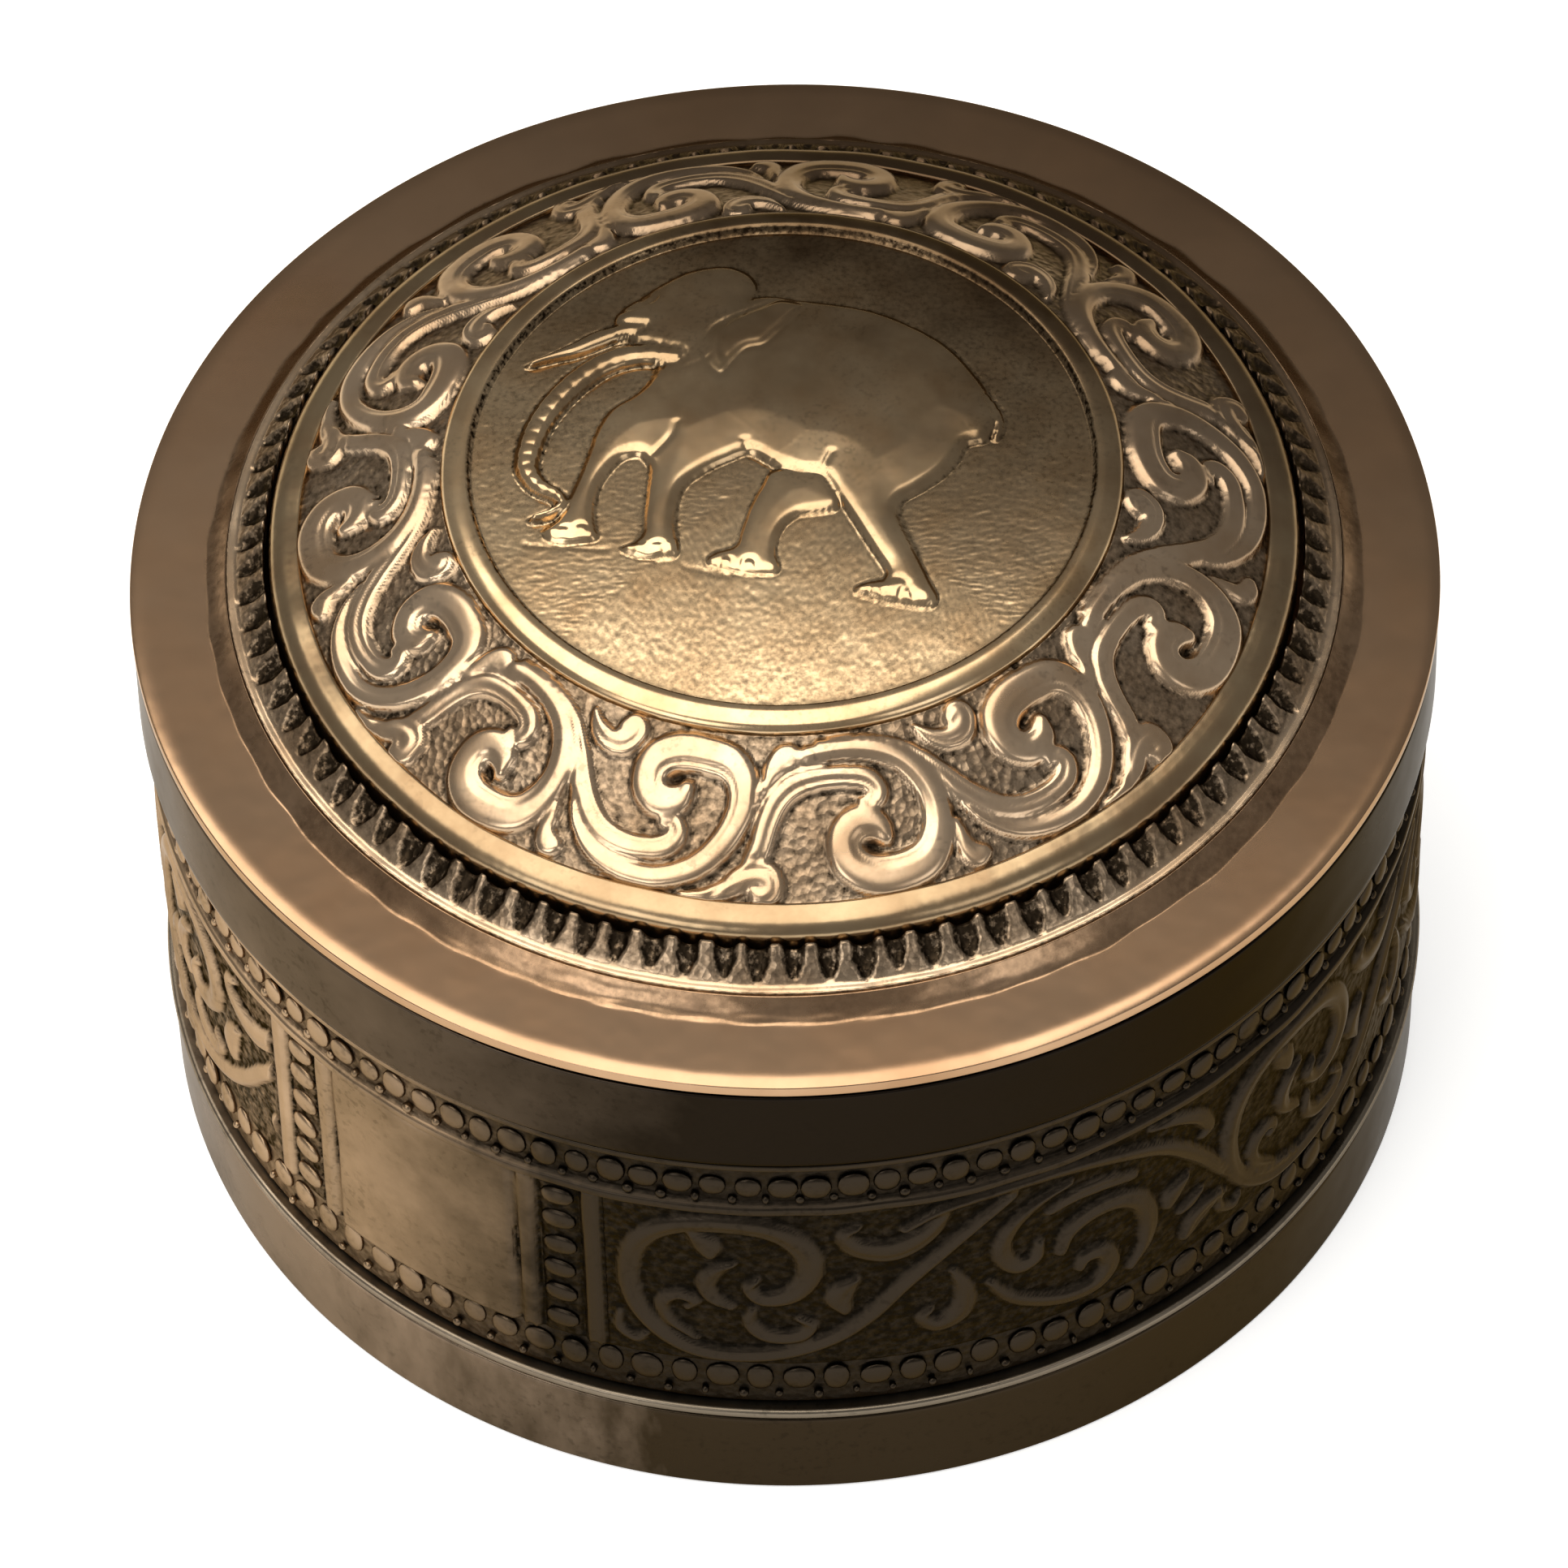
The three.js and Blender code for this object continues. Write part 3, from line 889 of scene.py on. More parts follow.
def boss_tree(layout: Layout) -> bpy.types.NodeTree:
    """Builds the node tree that sets a row of raised bosses.

    Args:
        layout: Whether the bosses stand round a ring or up a column.

    Returns:
        The tree, with named inputs for its sizes.
    """
    tree = bpy.data.node_groups.new(f"bosses_in_a_{layout.value}", "GeometryNodeTree")
    tree.interface.new_socket(name="Geometry", in_out="OUTPUT", socket_type="NodeSocketGeometry")
    kinds = {"Count": "Int", "Seed": "Int", "Boss Size": "Vector", "Material": "Material"}
    for name in ("Count", "Radius", "Height", "Top", "Azimuth", "Boss Size", "Boxiness", "Wander",
                 "Size Change", "Turn Change", "Seed", "Material"):
        kind = "NodeSocket" + kinds.get(name, "Float")
        tree.interface.new_socket(name=name, in_out="INPUT", socket_type=kind)
    add = partial(add_node, tree)
    given = add("NodeGroupInput").outputs
    seeds = [add("ShaderNodeMath", PLUS, {0: given["Seed"], 1: shift}) for shift in (0, 7, 3)]

    # the places
    low = add("ShaderNodeCombineXYZ", {}, {"Z": given["Height"]})
    if layout is Layout.RING:
        points = add("GeometryNodeMeshCircle", {}, {"Vertices": given["Count"], "Radius": given["Radius"]})
        points = add("GeometryNodeTransform", {}, {"Geometry": points, "Translation": low})
    else:
        start = add("ShaderNodeCombineXYZ", {}, {"X": given["Radius"], "Z": given["Height"]})
        end = add("ShaderNodeCombineXYZ", {}, {"X": given["Radius"], "Z": given["Top"]})
        points = add("GeometryNodeMeshLine", {"mode": "END_POINTS"}, {
            "Count": given["Count"], "Start Location": start, "Offset": end})
    round_axis = add("ShaderNodeCombineXYZ", {}, {"Z": given["Azimuth"]})
    points = add("GeometryNodeTransform", {}, {"Geometry": points, "Rotation": round_axis})
    wander = given["Wander"]
    nudge = add("ShaderNodeCombineXYZ", {}, {"X": wander, "Y": wander, "Z": wander})
    back = add("ShaderNodeVectorMath", TIMES, {0: nudge, 1: (-1.0, -1.0, -1.0)})
    nudge = add("FunctionNodeRandomValue", OF_VECTORS, {0: back, 1: nudge, "Seed": seeds[0]})
    points = add("GeometryNodeSetPosition", {}, {"Geometry": points, "Offset": nudge})

    # one boss: a cube smoothed into a pebble, or less so where it is boxy
    boss = add("GeometryNodeMeshCube", {}, {"Size": (1.0, 1.0, 1.0)})
    boss = add("GeometryNodeSubdivisionSurface", {}, {
        "Mesh": boss, "Level": 2, "Edge Crease": given["Boxiness"]})
    boss = add("GeometryNodeTransform", {}, {"Geometry": boss, "Scale": given["Boss Size"]})

    # each boss faces outwards, a little turned and a little larger or smaller than the next
    place = add("GeometryNodeInputPosition")
    outwards = add("ShaderNodeVectorMath", TIMES, {0: place, 1: (1.0, 1.0, 0.0)})
    facing = add("FunctionNodeAlignRotationToVector", {"axis": "X", "pivot_axis": "Z"}, {"Vector": outwards})
    turn = add("ShaderNodeCombineXYZ", {}, {"X": given["Turn Change"]})
    back = add("ShaderNodeVectorMath", TIMES, {0: turn, 1: (-1.0, -1.0, -1.0)})
    turn = add("FunctionNodeRandomValue", OF_VECTORS, {0: back, 1: turn, "Seed": seeds[1]})
    turn = add("FunctionNodeEulerToRotation", {}, {0: turn})
    facing = add("FunctionNodeRotateRotation", {"rotation_space": "LOCAL"}, {0: facing, 1: turn})
    smaller = add("ShaderNodeMath", MINUS, {0: 1.0, 1: given["Size Change"]})
    larger = add("ShaderNodeMath", PLUS, {0: 1.0, 1: given["Size Change"]})
    smaller, larger = (add("ShaderNodeCombineXYZ", {}, {"X": end, "Y": end, "Z": end})
                       for end in (smaller, larger))
    scale = add("FunctionNodeRandomValue", OF_VECTORS, {0: smaller, 1: larger, "Seed": seeds[2]})
    placed = add("GeometryNodeInstanceOnPoints", {}, {
        "Points": points, "Instance": boss, "Rotation": facing, "Scale": scale})
    solid = add("GeometryNodeRealizeInstances", {}, {"Geometry": placed})
    smooth = add("GeometryNodeSetShadeSmooth", {}, {"Geometry": solid})
    dressed = add("GeometryNodeSetMaterial", {}, {"Geometry": smooth, "Material": given["Material"]})
    add("NodeGroupOutput", {}, {"Geometry": dressed})
    return tree


@dataclass
class BossRow:
    """A row of raised bosses, with its sizes in millimetres."""

    name: str
    count: int
    radius: float
    height: float
    size: tuple[float, float, float]  # radial, along and up
    top: float = 0.0
    azimuth: float = 0.0
    boxiness: float = 0.0
    wander: float = 0.04
    size_change: float = 0.08
    turn_change: float = 3.0
    seed: int = 1

    def bake(self, tree: bpy.types.NodeTree, material: bpy.types.Material) -> bpy.types.Object:
        """Runs the tree and keeps its result as a plain mesh.

        Args:
            tree: The tree from boss_tree.
            material: The bosses' material.

        Returns:
            The finished piece.
        """
        holder = link_new(f"{self.name}_holder", bpy.data.meshes.new(f"{self.name}_holder"))
        modifier = holder.modifiers.new("bosses", "NODES")
        modifier.node_group = tree
        values = {
            "Count": self.count, "Radius": self.radius * MM, "Height": self.height * MM,
            "Top": self.top * MM, "Azimuth": math.radians(self.azimuth),
            "Boss Size": [side * MM for side in self.size], "Boxiness": self.boxiness,
            "Wander": self.wander * MM, "Size Change": self.size_change,
            "Turn Change": math.radians(self.turn_change), "Seed": self.seed, "Material": material,
        }
        for item in tree.interface.items_tree:
            if item.in_out == "INPUT":
                modifier[item.identifier] = values[item.name]
        graph = bpy.context.evaluated_depsgraph_get()
        graph.update()
        mesh = bpy.data.meshes.new_from_object(holder.evaluated_get(graph))
        bpy.data.objects.remove(holder)
        mesh.name = self.name
        mesh.attributes.new("recess", "FLOAT", "POINT")  # zeros: nothing on a boss is recessed
        return link_new(self.name, mesh)


# The box


def node_span(node: str) -> tuple[float, float, float]:
    """Returns a CAD node's outer radius, lowest and highest place, in millimetres."""
    low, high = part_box(node)
    return high.x / MM, low.z / MM, high.z / MM


def inner_radius(node: str) -> float:
    """Returns the smallest distance of a CAD node's corners from the axis, in millimetres."""
    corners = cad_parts[node].data.vertices
    return min(math.hypot(corner.co.x, corner.co.y) for corner in corners) / MM


@dataclass(frozen=True)
class PlainBand:
    """A plain turned band that takes the place of one CAD node."""

    name: str
    node: str
    roundings: tuple[float, float, float, float]  # inner low, outer low, outer high and inner high edge
    waver: float
    seed: int
    set_in: tuple[float, float] = (0.0, 0.0)  # how far its outside lies within the node's, low and high

    def build(self, body: str, slot: Slot, material: bpy.types.Material) -> None:
        """Makes the band and settles it.

        Args:
            body: The CAD body that carries it.
            slot: Not used; it is only handed on to settle.
            material: Its material.
        """
        outer, low, high = node_span(self.node)
        inner = inner_radius(self.node)
        places = ((inner, low), (outer - self.set_in[0], low), (outer - self.set_in[1], high), (inner, high))
        corners = [(*place, rounding) for place, rounding in zip(places, self.roundings)]
        settle(plain_ring(self.name, corners, material, self.waver, self.seed), body, slot, self.node)


@dataclass
class BoxBody:
    """The box: foot band, base plate, wire, chased wall and the collar inside it."""

    materials: dict[str, bpy.types.Material]
    rings: bpy.types.NodeTree
    columns: bpy.types.NodeTree
    cartouche_azimuths: tuple[float, float] = (-126.0, 54.0)
    volutes: int = 5
    stroke_width: float = 0.86  # share of the drawn width that the wall's narrow strokes have
    ground: float = 39.2  # radius of the flat that the relief stands on
    core: float = 38.95  # radius of the sheet behind the chased skin
    lap: float = 0.1  # how far a skin runs into the sheet behind it and under the ridge
    relief: float = 0.42
    flatness: float = 2.6  # of the strokes' section, see Relief
    panel_low: float = 12.6
    panel_high: float = 28.05
    ridge_high: float = 28.75
    ridge_relief: float = 0.35
    strip_relief: float = -0.15  # the plain strip between the ridge and the upper beads
    rim_low: float = 32.75
    beads_low: float = 29.25  # the upper beads' lowest place; a plain strip runs above them
    beads_high: float = 31.85
    lower_beads_rise: float = 1.1  # the lower beads' lowest place above the wall's lower edge
    bead_fill: float = 0.92  # share of its row's height that a bead fills
    bead_depth: float = 0.66  # radial size; about half of it stands out
    dot_depth: float = 0.6
    cartouche_half: float = 9.9  # degrees from its middle to its first bar
    bar_width: float = 2.3  # degrees
    ladder_width: float = 3.9  # degrees
    gadroons: int = 6
    upper_beads: int = 118
    lower_beads: int = 106
    lower_beads_azimuth: float = 1.2
    soiled: float = 0.8  # recess of a skin's flat ground, for its oxide, and of its hidden edges, for painted shade where it meets the next piece
    step: float = 0.15

    def build(self) -> None:
        """Makes every piece of the box and settles it."""
        self._plain_parts()
        self._wall_core()
        self._bead_rows()
        for index, middle in enumerate(self.cartouche_azimuths):
            self._cartouche(index, middle)
            self._scroll_panel(index, middle + self._panel_start())

    def _second_bar(self) -> float:
        """Degrees from a cartouche's middle to the bar beyond its ladder."""
        return self.cartouche_half + self.bar_width + self.ladder_width

    def _panel_start(self) -> float:
        """Degrees from a cartouche's middle to the start of the scroll panel beside it."""
        return self.cartouche_half + 2 * self.bar_width + self.ladder_width

    def _plain_parts(self) -> None:
        """Foot band, wire, collar and base plate."""
        foot = PlainBand("foot_band_polished", "foot_band", roundings=(0.1, 0.25, 0.25, 0.1), waver=0.03,
                         seed=2, set_in=(0.05, 0.0))
        foot.build(BODY_OF_BOX, Slot.POLISHED, self.materials["foot"])
        wire = PlainBand("foot_wire_round", "foot_wire", roundings=(0.05, 0.3, 0.3, 0.05), waver=0.05, seed=3)
        wire.build(BODY_OF_BOX, Slot.POLISHED, self.materials["wire"])
        collar = PlainBand("neck_collar_satin", "neck_collar", roundings=(0.1, 0.1, 0.3, 0.15), waver=0.02,
                           seed=4)
        collar.build(BODY_OF_BOX, Slot.INNER, self.materials["inner"])
        plate = disc_piece("base_plate_satin", *node_span("base_plate"), self.materials["inner"])
        settle(plate, BODY_OF_BOX, Slot.INNER, "base_plate")

    def _wall_core(self) -> None:
        """The wall's sheet behind the chasing, with its ridge and plain rim."""
        outer, low, high = node_span("body_wall")
        inner = inner_radius("body_wall")
        below, rim = self.core + self.lap, outer - 0.02
        ridge, strip = self.ground + self.ridge_relief, self.ground + self.strip_relief
        corners = [
            (inner, low, 0.05), (below, low, 0.1), (below, self.panel_low - 0.5, 0.1),
            (self.core, self.panel_low, 0.1), (self.core, self.panel_high, 0.05),
            (ridge, self.panel_high + 0.05, 0.2), (ridge, self.ridge_high, 0.2),
            (strip, self.ridge_high + 0.2, 0.1), (strip, self.rim_low, 0.05),
            (rim, self.rim_low + 0.05, 0.15), (rim, high, 0.15), (inner, high, 0.05),
        ]
        section = rounded_section(corners)
        columns = 720
        sections = np.repeat(section[None], columns, 0)
        ridge_middle = (self.panel_high + self.ridge_high) / 2
        on_ridge = (section[:, 0] > self.ground) & (np.abs(section[:, 1] - ridge_middle) < 0.6)
        sections[:, on_ridge, 0] += hand_waver(columns, 0.05, 60, 5)[:, None]
        sections[:, on_ridge, 1] += hand_waver(columns, 0.08, 40, 6)[:, None]
        corners_made, faces = turned_ring(sections)
        shade = np.clip((self.ground + 0.1 - sections[..., 0]) / 0.3, 0, 0.5)
        core = new_piece("wall_sheet", corners_made, faces, self.materials["wall"], shade.ravel())
        settle(core, BODY_OF_BOX, Slot.CHASED, "body_wall")

    def _bead_rows(self) -> None:
        """Flat round beads at both edges of the wall, with a punched dot between each pair."""
        _, low, _ = node_span("body_wall")
        seat = self.ground - 0.05
        upper_middle = (self.beads_low + self.beads_high) / 2
        upper_height = self.bead_fill * (self.beads_high - self.beads_low)
        lower_middle = (low + self.lower_beads_rise + self.panel_low) / 2
        lower_height = self.bead_fill * (self.panel_low - low - self.lower_beads_rise - self.lap)
        between_upper, between_lower = 180 / self.upper_beads, 180 / self.lower_beads
        start = self.lower_beads_azimuth
        rows = (
            BossRow("upper_beads", self.upper_beads, seat, upper_middle,
                    (self.bead_depth, 2.08, upper_height), wander=0.1, size_change=0.14, seed=11),
            BossRow("upper_dots", self.upper_beads, seat, self.beads_low + 0.1,
                    (self.dot_depth, 0.7, 0.7), azimuth=between_upper, wander=0.1, size_change=0.25, seed=12),
            BossRow("lower_beads", self.lower_beads, seat, lower_middle,
                    (self.bead_depth, 2.2, lower_height), azimuth=start, wander=0.1, size_change=0.14,
                    seed=13),
            BossRow("lower_dots", self.lower_beads, self.ground, low + 1.0,
                    (self.dot_depth, 0.65, 0.65), azimuth=start + between_lower, wander=0.1,
                    size_change=0.25, seed=14),
        )
        for row in rows:
            settle(row.bake(self.rings, self.materials["wall"]), BODY_OF_BOX, Slot.CHASED, "body_wall")

    def _sector(self, name: str, start: float, span: float, chase: Callable[[Relief], None]) -> None:
        """Makes one closed stretch of the wall's chased skin.

        Args:
            name: The piece's name.
            start: Azimuth of its left end, in degrees.
            span: Its width in degrees.
            chase: Draws the relief on the field that it is given.
        """
        width = math.radians(span) * self.ground
        top = self.panel_high + self.lap
        columns = round(width / self.step) + 1
        rows = round((top - self.panel_low) / self.step) + 1
        along = np.linspace(0, width, columns)
        up = np.linspace(self.panel_low, top, rows)
        relief = Relief(*np.meshgrid(along, up, indexing="ij"), self.flatness)
        chase(relief)
        relief.matting(depth=0.08, seed=21)
        raised = relief.heights()
        raised[:2] = raised[-2:] = 0
        recess = relief.recess(wide=3, scale=0.3, ground_share=self.soiled)
        recess[:2] = recess[-2:] = self.soiled
        angle = math.radians(start) + along / self.ground
        radius = self.ground + raised
        front = np.stack([radius * np.cos(angle)[:, None], radius * np.sin(angle)[:, None],
                          np.broadcast_to(up, radius.shape)], -1).reshape(-1, 3)
        behind = self.core - self.lap
        back = np.stack([np.repeat(behind * np.cos(angle), 2), np.repeat(behind * np.sin(angle), 2),
                         np.tile(up[[0, -1]], columns)], -1)
        shade = np.concatenate([recess.ravel(), np.full(len(back), self.soiled)])
        skin = new_piece(name, np.vstack([front, back]), self._skin_faces(columns, rows),
                         self.materials["wall"], shade)
        settle(skin, BODY_OF_BOX, Slot.CHASED, "body_wall")

    def _skin_faces(self, columns: int, rows: int) -> list[tuple[int, ...]]:
        """Faces of a skin: its front, a plain back two corners high, and the four edges.

        Args:
            columns: Columns of the front.
            rows: Corners in each column of the front.

        Returns:
            The faces' corner numbers.
        """
        faces = grid_faces(columns, rows, False)
        first_back = columns * rows
        for c in range(columns - 1):
            near_low, near_high = c * rows, c * rows + rows - 1
            next_low, next_high = near_low + rows, near_high + rows
            low, high = first_back + 2 * c, first_back + 2 * c + 1
            faces.append((low, high, high + 2, low + 2))
            faces.append((near_low, low, low + 2, next_low))
            faces.append((near_high, next_high, high + 2, high))
        last = columns - 1
        faces.append((*range(rows), first_back + 1, first_back))
        faces.append((*reversed(range(last * rows, columns * rows)), first_back + 2 * last,
                      first_back + 2 * last + 1))
        return faces

    def _scroll_panel(self, index: int, start: float) -> None:
        """A run of volutes between two cartouches, rolled up by turns at the bottom and at the top.

        Args:
            index: Which of the two panels.
            start: Azimuth of its left end, in degrees.
        """
        span = 180 - 2 * self._panel_start()
        pitch = math.radians(span) * self.ground / self.volutes
        middle = (self.panel_low + self.panel_high) / 2

        def chase(relief: Relief) -> None:
            """Draws the volutes.

            Args:
                relief: The panel's field.
            """
            for volute in range(self.volutes):
                for stroke in WALL_SCROLL.low if volute % 2 == 0 else WALL_SCROLL.high:
                    drawn = np.array(stroke.path) * [1, 1, self.stroke_width]
                    placed = drawn + [(volute + 0.45) * pitch, middle, 0]
                    relief.ridge(placed, self.relief * stroke.height, stroke.line)

        self._sector(f"scroll_panel_{index + 1}", start, span, chase)

    def _cartouche(self, index: int, middle: float) -> None:
        """A blank cartouche between two ladders of gadroons.

        Args:
            index: Which of the two cartouches.
            middle: Azimuth of its middle, in degrees.
        """
        half = self._panel_start()
        to_mm = math.radians(1) * self.ground
        low, high = self.panel_low, self.panel_high
        waist = (low + high) / 2
        first_bar, second_bar = self.cartouche_half, self._second_bar()

        def chase(relief: Relief) -> None:
            """Raises the cartouche and its four bars and draws the lines beside them.

            Args:
                relief: The cartouche's field.
            """
            centre = half * to_mm
            for side in (-1, 1):
                for near in (first_bar, second_bar):
                    x = centre + side * (near + self.bar_width / 2) * to_mm
                    reach = self.bar_width / 2 * to_mm - 0.14
                    bar = [(x - reach, low + 0.5), (x, low + 0.1), (x + reach, low + 0.5), (x + reach, waist),
                           (x + reach, high - 0.1), (x - reach, high - 0.1), (x - reach, waist)]
                    relief.pillow(np.array(bar), self.relief * 0.7, shoulder=0.35)
            reach = first_bar * to_mm - 0.12
            blank = [(centre - reach, low - 0.3), (centre, low - 0.5), (centre + reach, low - 0.3),
                     (centre + reach, waist), (centre + reach, high + 0.1), (centre, high + 0.1),
                     (centre - reach, high + 0.1), (centre - reach, waist)]
            relief.pillow(np.array(blank), self.relief * 0.6, shoulder=0.4)
            for side in (-1, 1):
                for near in (first_bar, first_bar + self.bar_width, second_bar,
                             second_bar + self.bar_width - 0.15):
                    x = centre + side * near * to_mm
                    line = [(x, low + 0.2), (x + 0.05, waist), (x - 0.03, high - 0.2)]
                    relief.groove(np.array(line), width=0.2, depth=0.25)

        self._sector(f"cartouche_{index + 1}", middle - half, 2 * half, chase)
        pitch = (high - low - 0.6) / self.gadroons
        gadroon = (0.8, self.ladder_width * to_mm - 0.2, pitch * 0.78)
        for side, label in ((-1, "left"), (1, "right")):
            azimuth = middle + side * (second_bar - self.ladder_width / 2)
            ladder = BossRow(
                f"ladder_{index + 1}_{label}", self.gadroons, self.ground - 0.02, low + 0.5 + pitch / 2,
                gadroon, top=high - 0.1 - pitch / 2, azimuth=azimuth, boxiness=0.1, wander=0.06,
                size_change=0.08, turn_change=8.0, seed=31 + index)
            settle(ladder.bake(self.columns, self.materials["wall"]), BODY_OF_BOX, Slot.CHASED, "body_wall")


def disc_piece(name: str, radius: float, low: float, high: float,
               material: bpy.types.Material) -> bpy.types.Object:
    """A flat disc with a rounded edge.

    Args:
        name: The piece's name.
        radius: Its radius.
        low: Height of its underside.
        high: Height of its upper side.
        material: Its material.

    Returns:
        The new piece.
    """
    edge = 0.15
    below = [(0.3, low), (radius / 2, low), (radius - 3 * edge, low), (radius - edge, low),
             (radius, low + edge)]
    above = [(across, low + high - up) for across, up in reversed(below)]
    section = below + above
    return poled_piece(name, np.array(section), low, high, material)


def poled_piece(name: str, section: np.ndarray, low: float, high: float, material: bpy.types.Material,
                columns: int = 240) -> bpy.types.Object:
    """Turns an open section about Z and closes it with a pole at each end.

    Args:
        name: The piece's name.
        section: Radius and height of each point, from the lower pole to the upper.
        low: Height of the lower pole.
        high: Height of the upper pole.
        material: Its material.
        columns: Straight sides round it.

    Returns:
        The new piece.
    """
    rows = len(section)
    angle = np.linspace(0, 2 * math.pi, columns, endpoint=False)[:, None]
    corners = np.stack([section[:, 0] * np.cos(angle), section[:, 0] * np.sin(angle),
                        np.broadcast_to(section[:, 1], (columns, rows))], -1).reshape(-1, 3)
    faces = grid_faces(columns, rows, True)
    lower, upper = len(corners), len(corners) + 1
    for c in range(columns):
        n = (c + 1) % columns
        faces.append((lower, n * rows, c * rows))
        faces.append((upper, c * rows + rows - 1, n * rows + rows - 1))
    return new_piece(name, np.vstack([corners, [(0, 0, low), (0, 0, high)]]), faces, material)


# The lid


@dataclass
class Lid:
    """The lid: skirt, flange with its solder, notched border and the embossed plaque."""

    materials: dict[str, bpy.types.Material]
    rings: bpy.types.NodeTree
    # azimuths of the fourteen volutes' middles; their spacing is uneven, as in hand work
    volute_azimuths: tuple[float, ...] = (2.0, 29.0, 56.0, 79.0, 105.0, 129.0, 156.0, 181.0, 205.8, 228.3,
                                          253.4, 280.4, 306.6, 333.0)
    scroll_radius: float = 25.2
    lip: float = 34.05  # radius where the solder's fillet meets the plaque's border
    shelf_rise: float = 0.9  # height of the flange's flat above the flange's own lower edge
    shelf_edge: float = 36.2  # radius from which the flange is drawn close, for the solder
    solder_edge: float = 35.3
    # radius and height of the uneven beads of solder, from the plaque outwards
    solder_beads: tuple[tuple[float, float], ...] = ((34.5, 0.06), (35.1, 0.05))
    solder_azimuth: float = 258.0  # where the solder is thickest
    notches: int = 98
    notch_depth: float = 0.6
    # as shares of a notch's pitch, and of the border's width for the start
    notch_shift: tuple[float, float] = (-0.06, 0.06)
    notch_half: tuple[float, float] = (0.34, 0.43)
    notch_start: tuple[float, float] = (0.2, 0.34)
    notch_run: float = 0.42  # share of the border's width over which a notch opens
    notch_tip: float = 0.35  # its width where it starts, as a share of its full width
    # the plaque's section, as radius and height above its own lower edge
    ring_outer: float = 31.35
    ring_inner: float = 29.35
    ring_crest: float = 3.25
    band_ground: tuple[tuple[float, float], ...] = ((29.5, 2.85), (27.4, 4.1), (25.2, 5.45), (22.9, 6.75),
                                                    (20.6, 7.9))
    band_relief: float = 0.52
    medallion_section: tuple[tuple[float, float], ...] = ((20.65, 7.9), (20.55, 8.3), (20.2, 8.55),
                                                          (19.6, 8.72), (19.15, 8.78), (18.95, 8.68))
    field_radius: float = 18.8
    field_edge: float = 8.31
    field_crown: float = 0.92
    plaque_gauge: float = 0.75
    foot: float = field(init=False)  # height of the plaque's lower edge

    def __post_init__(self) -> None:
        """Takes the plaque's place from its CAD node."""
        self.foot = node_span("lid_dome")[1]

    def build(self) -> None:
        """Makes every piece of the lid and settles it."""
        skirt = PlainBand("lid_skirt_polished", "lid_skirt", roundings=(0.1, 0.28, 0.15, 0.1), waver=0.04,
                          seed=41, set_in=(0.02, 0.06))
        skirt.build(BODY_OF_LID, Slot.POLISHED, self.materials["side"])
        self._flange()
        self._border()
        self._plain_plaque_ring()
        self._scroll_band()
        self._medallion()

    def _flange(self) -> None:
        """The polished flange, uneven with solder where the plaque meets it at the front."""
        outer, low, high = node_span("lid_flange")
        inner = inner_radius("lid_flange")
        columns = 960
        shelf, lip_top, side = low + self.shelf_rise, high - 0.12, outer - 0.02
        wall = [(outer - 0.1, low), (outer - 0.04, low + 0.02), (side, low + 0.08), (side, low + 0.3),
                (side, low + 0.64), (outer - 0.025, low + 0.7), (outer - 0.05, low + 0.75)]
        fall = np.linspace(1, 0, 18)
        rounding = np.column_stack([outer - 1.3 + 1.2 * fall, shelf - 0.13 * fall**3])
        reach = np.linspace(self.shelf_edge, self.lip, 28)
        flat = np.column_stack([reach, np.full(len(reach), shelf)])
        under = [(self.lip, low + 1.5), (inner, low + 1.5), (inner, low + 0.6), (self.lip, low + 0.6)]
        section = np.vstack([wall, rounding, flat, under])
        sections = np.repeat(section[None], columns, 0)
        top = slice(len(wall) + len(rounding), len(section) - len(under))

        fillet = self.solder_edge + hand_waver(columns, 0.22, 60, 47)[:, None]
        climb = np.clip((fillet - reach) / (fillet - self.lip), 0, 1) ** 1.2
        sections[:, top, 1] = shelf + (lip_top - shelf) * climb
        warp = hand_waver(columns, 0.04, 7, 43)[:, None]
        sections[..., 1] += warp * np.clip((section[:, 0] - self.lip) / 3, 0, 1) * (section[:, 1] > low + 0.5)
        sections[..., 0] -= np.abs(hand_waver(columns, 0.05, 8, 44))[:, None] * (section[:, 0] > 38)
        sections[:, top, 1] += self._solder(reach, columns)

        # Tarnish on the solder, and painted shade where the flange runs up to the border.
        stain = 0.36 + hand_waver(columns, 0.2, 60, 49)[:, None]
        soiled = np.zeros(sections.shape[:2])
        soiled[:, top] = np.clip((fillet + 0.3 - reach) / 0.3, 0, 1) * stain
        flange = new_piece("lid_flange_polished", *turned_ring(sections), self.materials["polished"],
                           soiled.ravel())
        settle(flange, BODY_OF_LID, Slot.POLISHED, "lid_flange")

    def _solder(self, reach: np.ndarray, columns: int) -> np.ndarray:
        """Heights of the uneven beads of solder at the front of the flange.

        Args:
            reach: The radii to give heights for.
            columns: Columns round the flange.

        Returns:
            The heights, as columns by radii.
        """
        angle = np.degrees(np.linspace(0, 2 * math.pi, columns, endpoint=False))
        away = (angle - self.solder_azimuth + 180) % 360 - 180
        solder = np.zeros((columns, len(reach)))
        for number, (radius, height) in enumerate(self.solder_beads):
            wandering = radius + hand_waver(columns, 0.18, 70, 45 + number)[:, None]
            uneven = np.clip(0.45 + hand_waver(columns, 0.7, 90, 55 + number), 0, 1)
            strength = np.exp(-((away / (50 - 9 * number)) ** 4)) * uneven
            solder += height * strength[:, None] * np.exp(-(((reach - wandering) / 0.2) ** 2))
        return solder

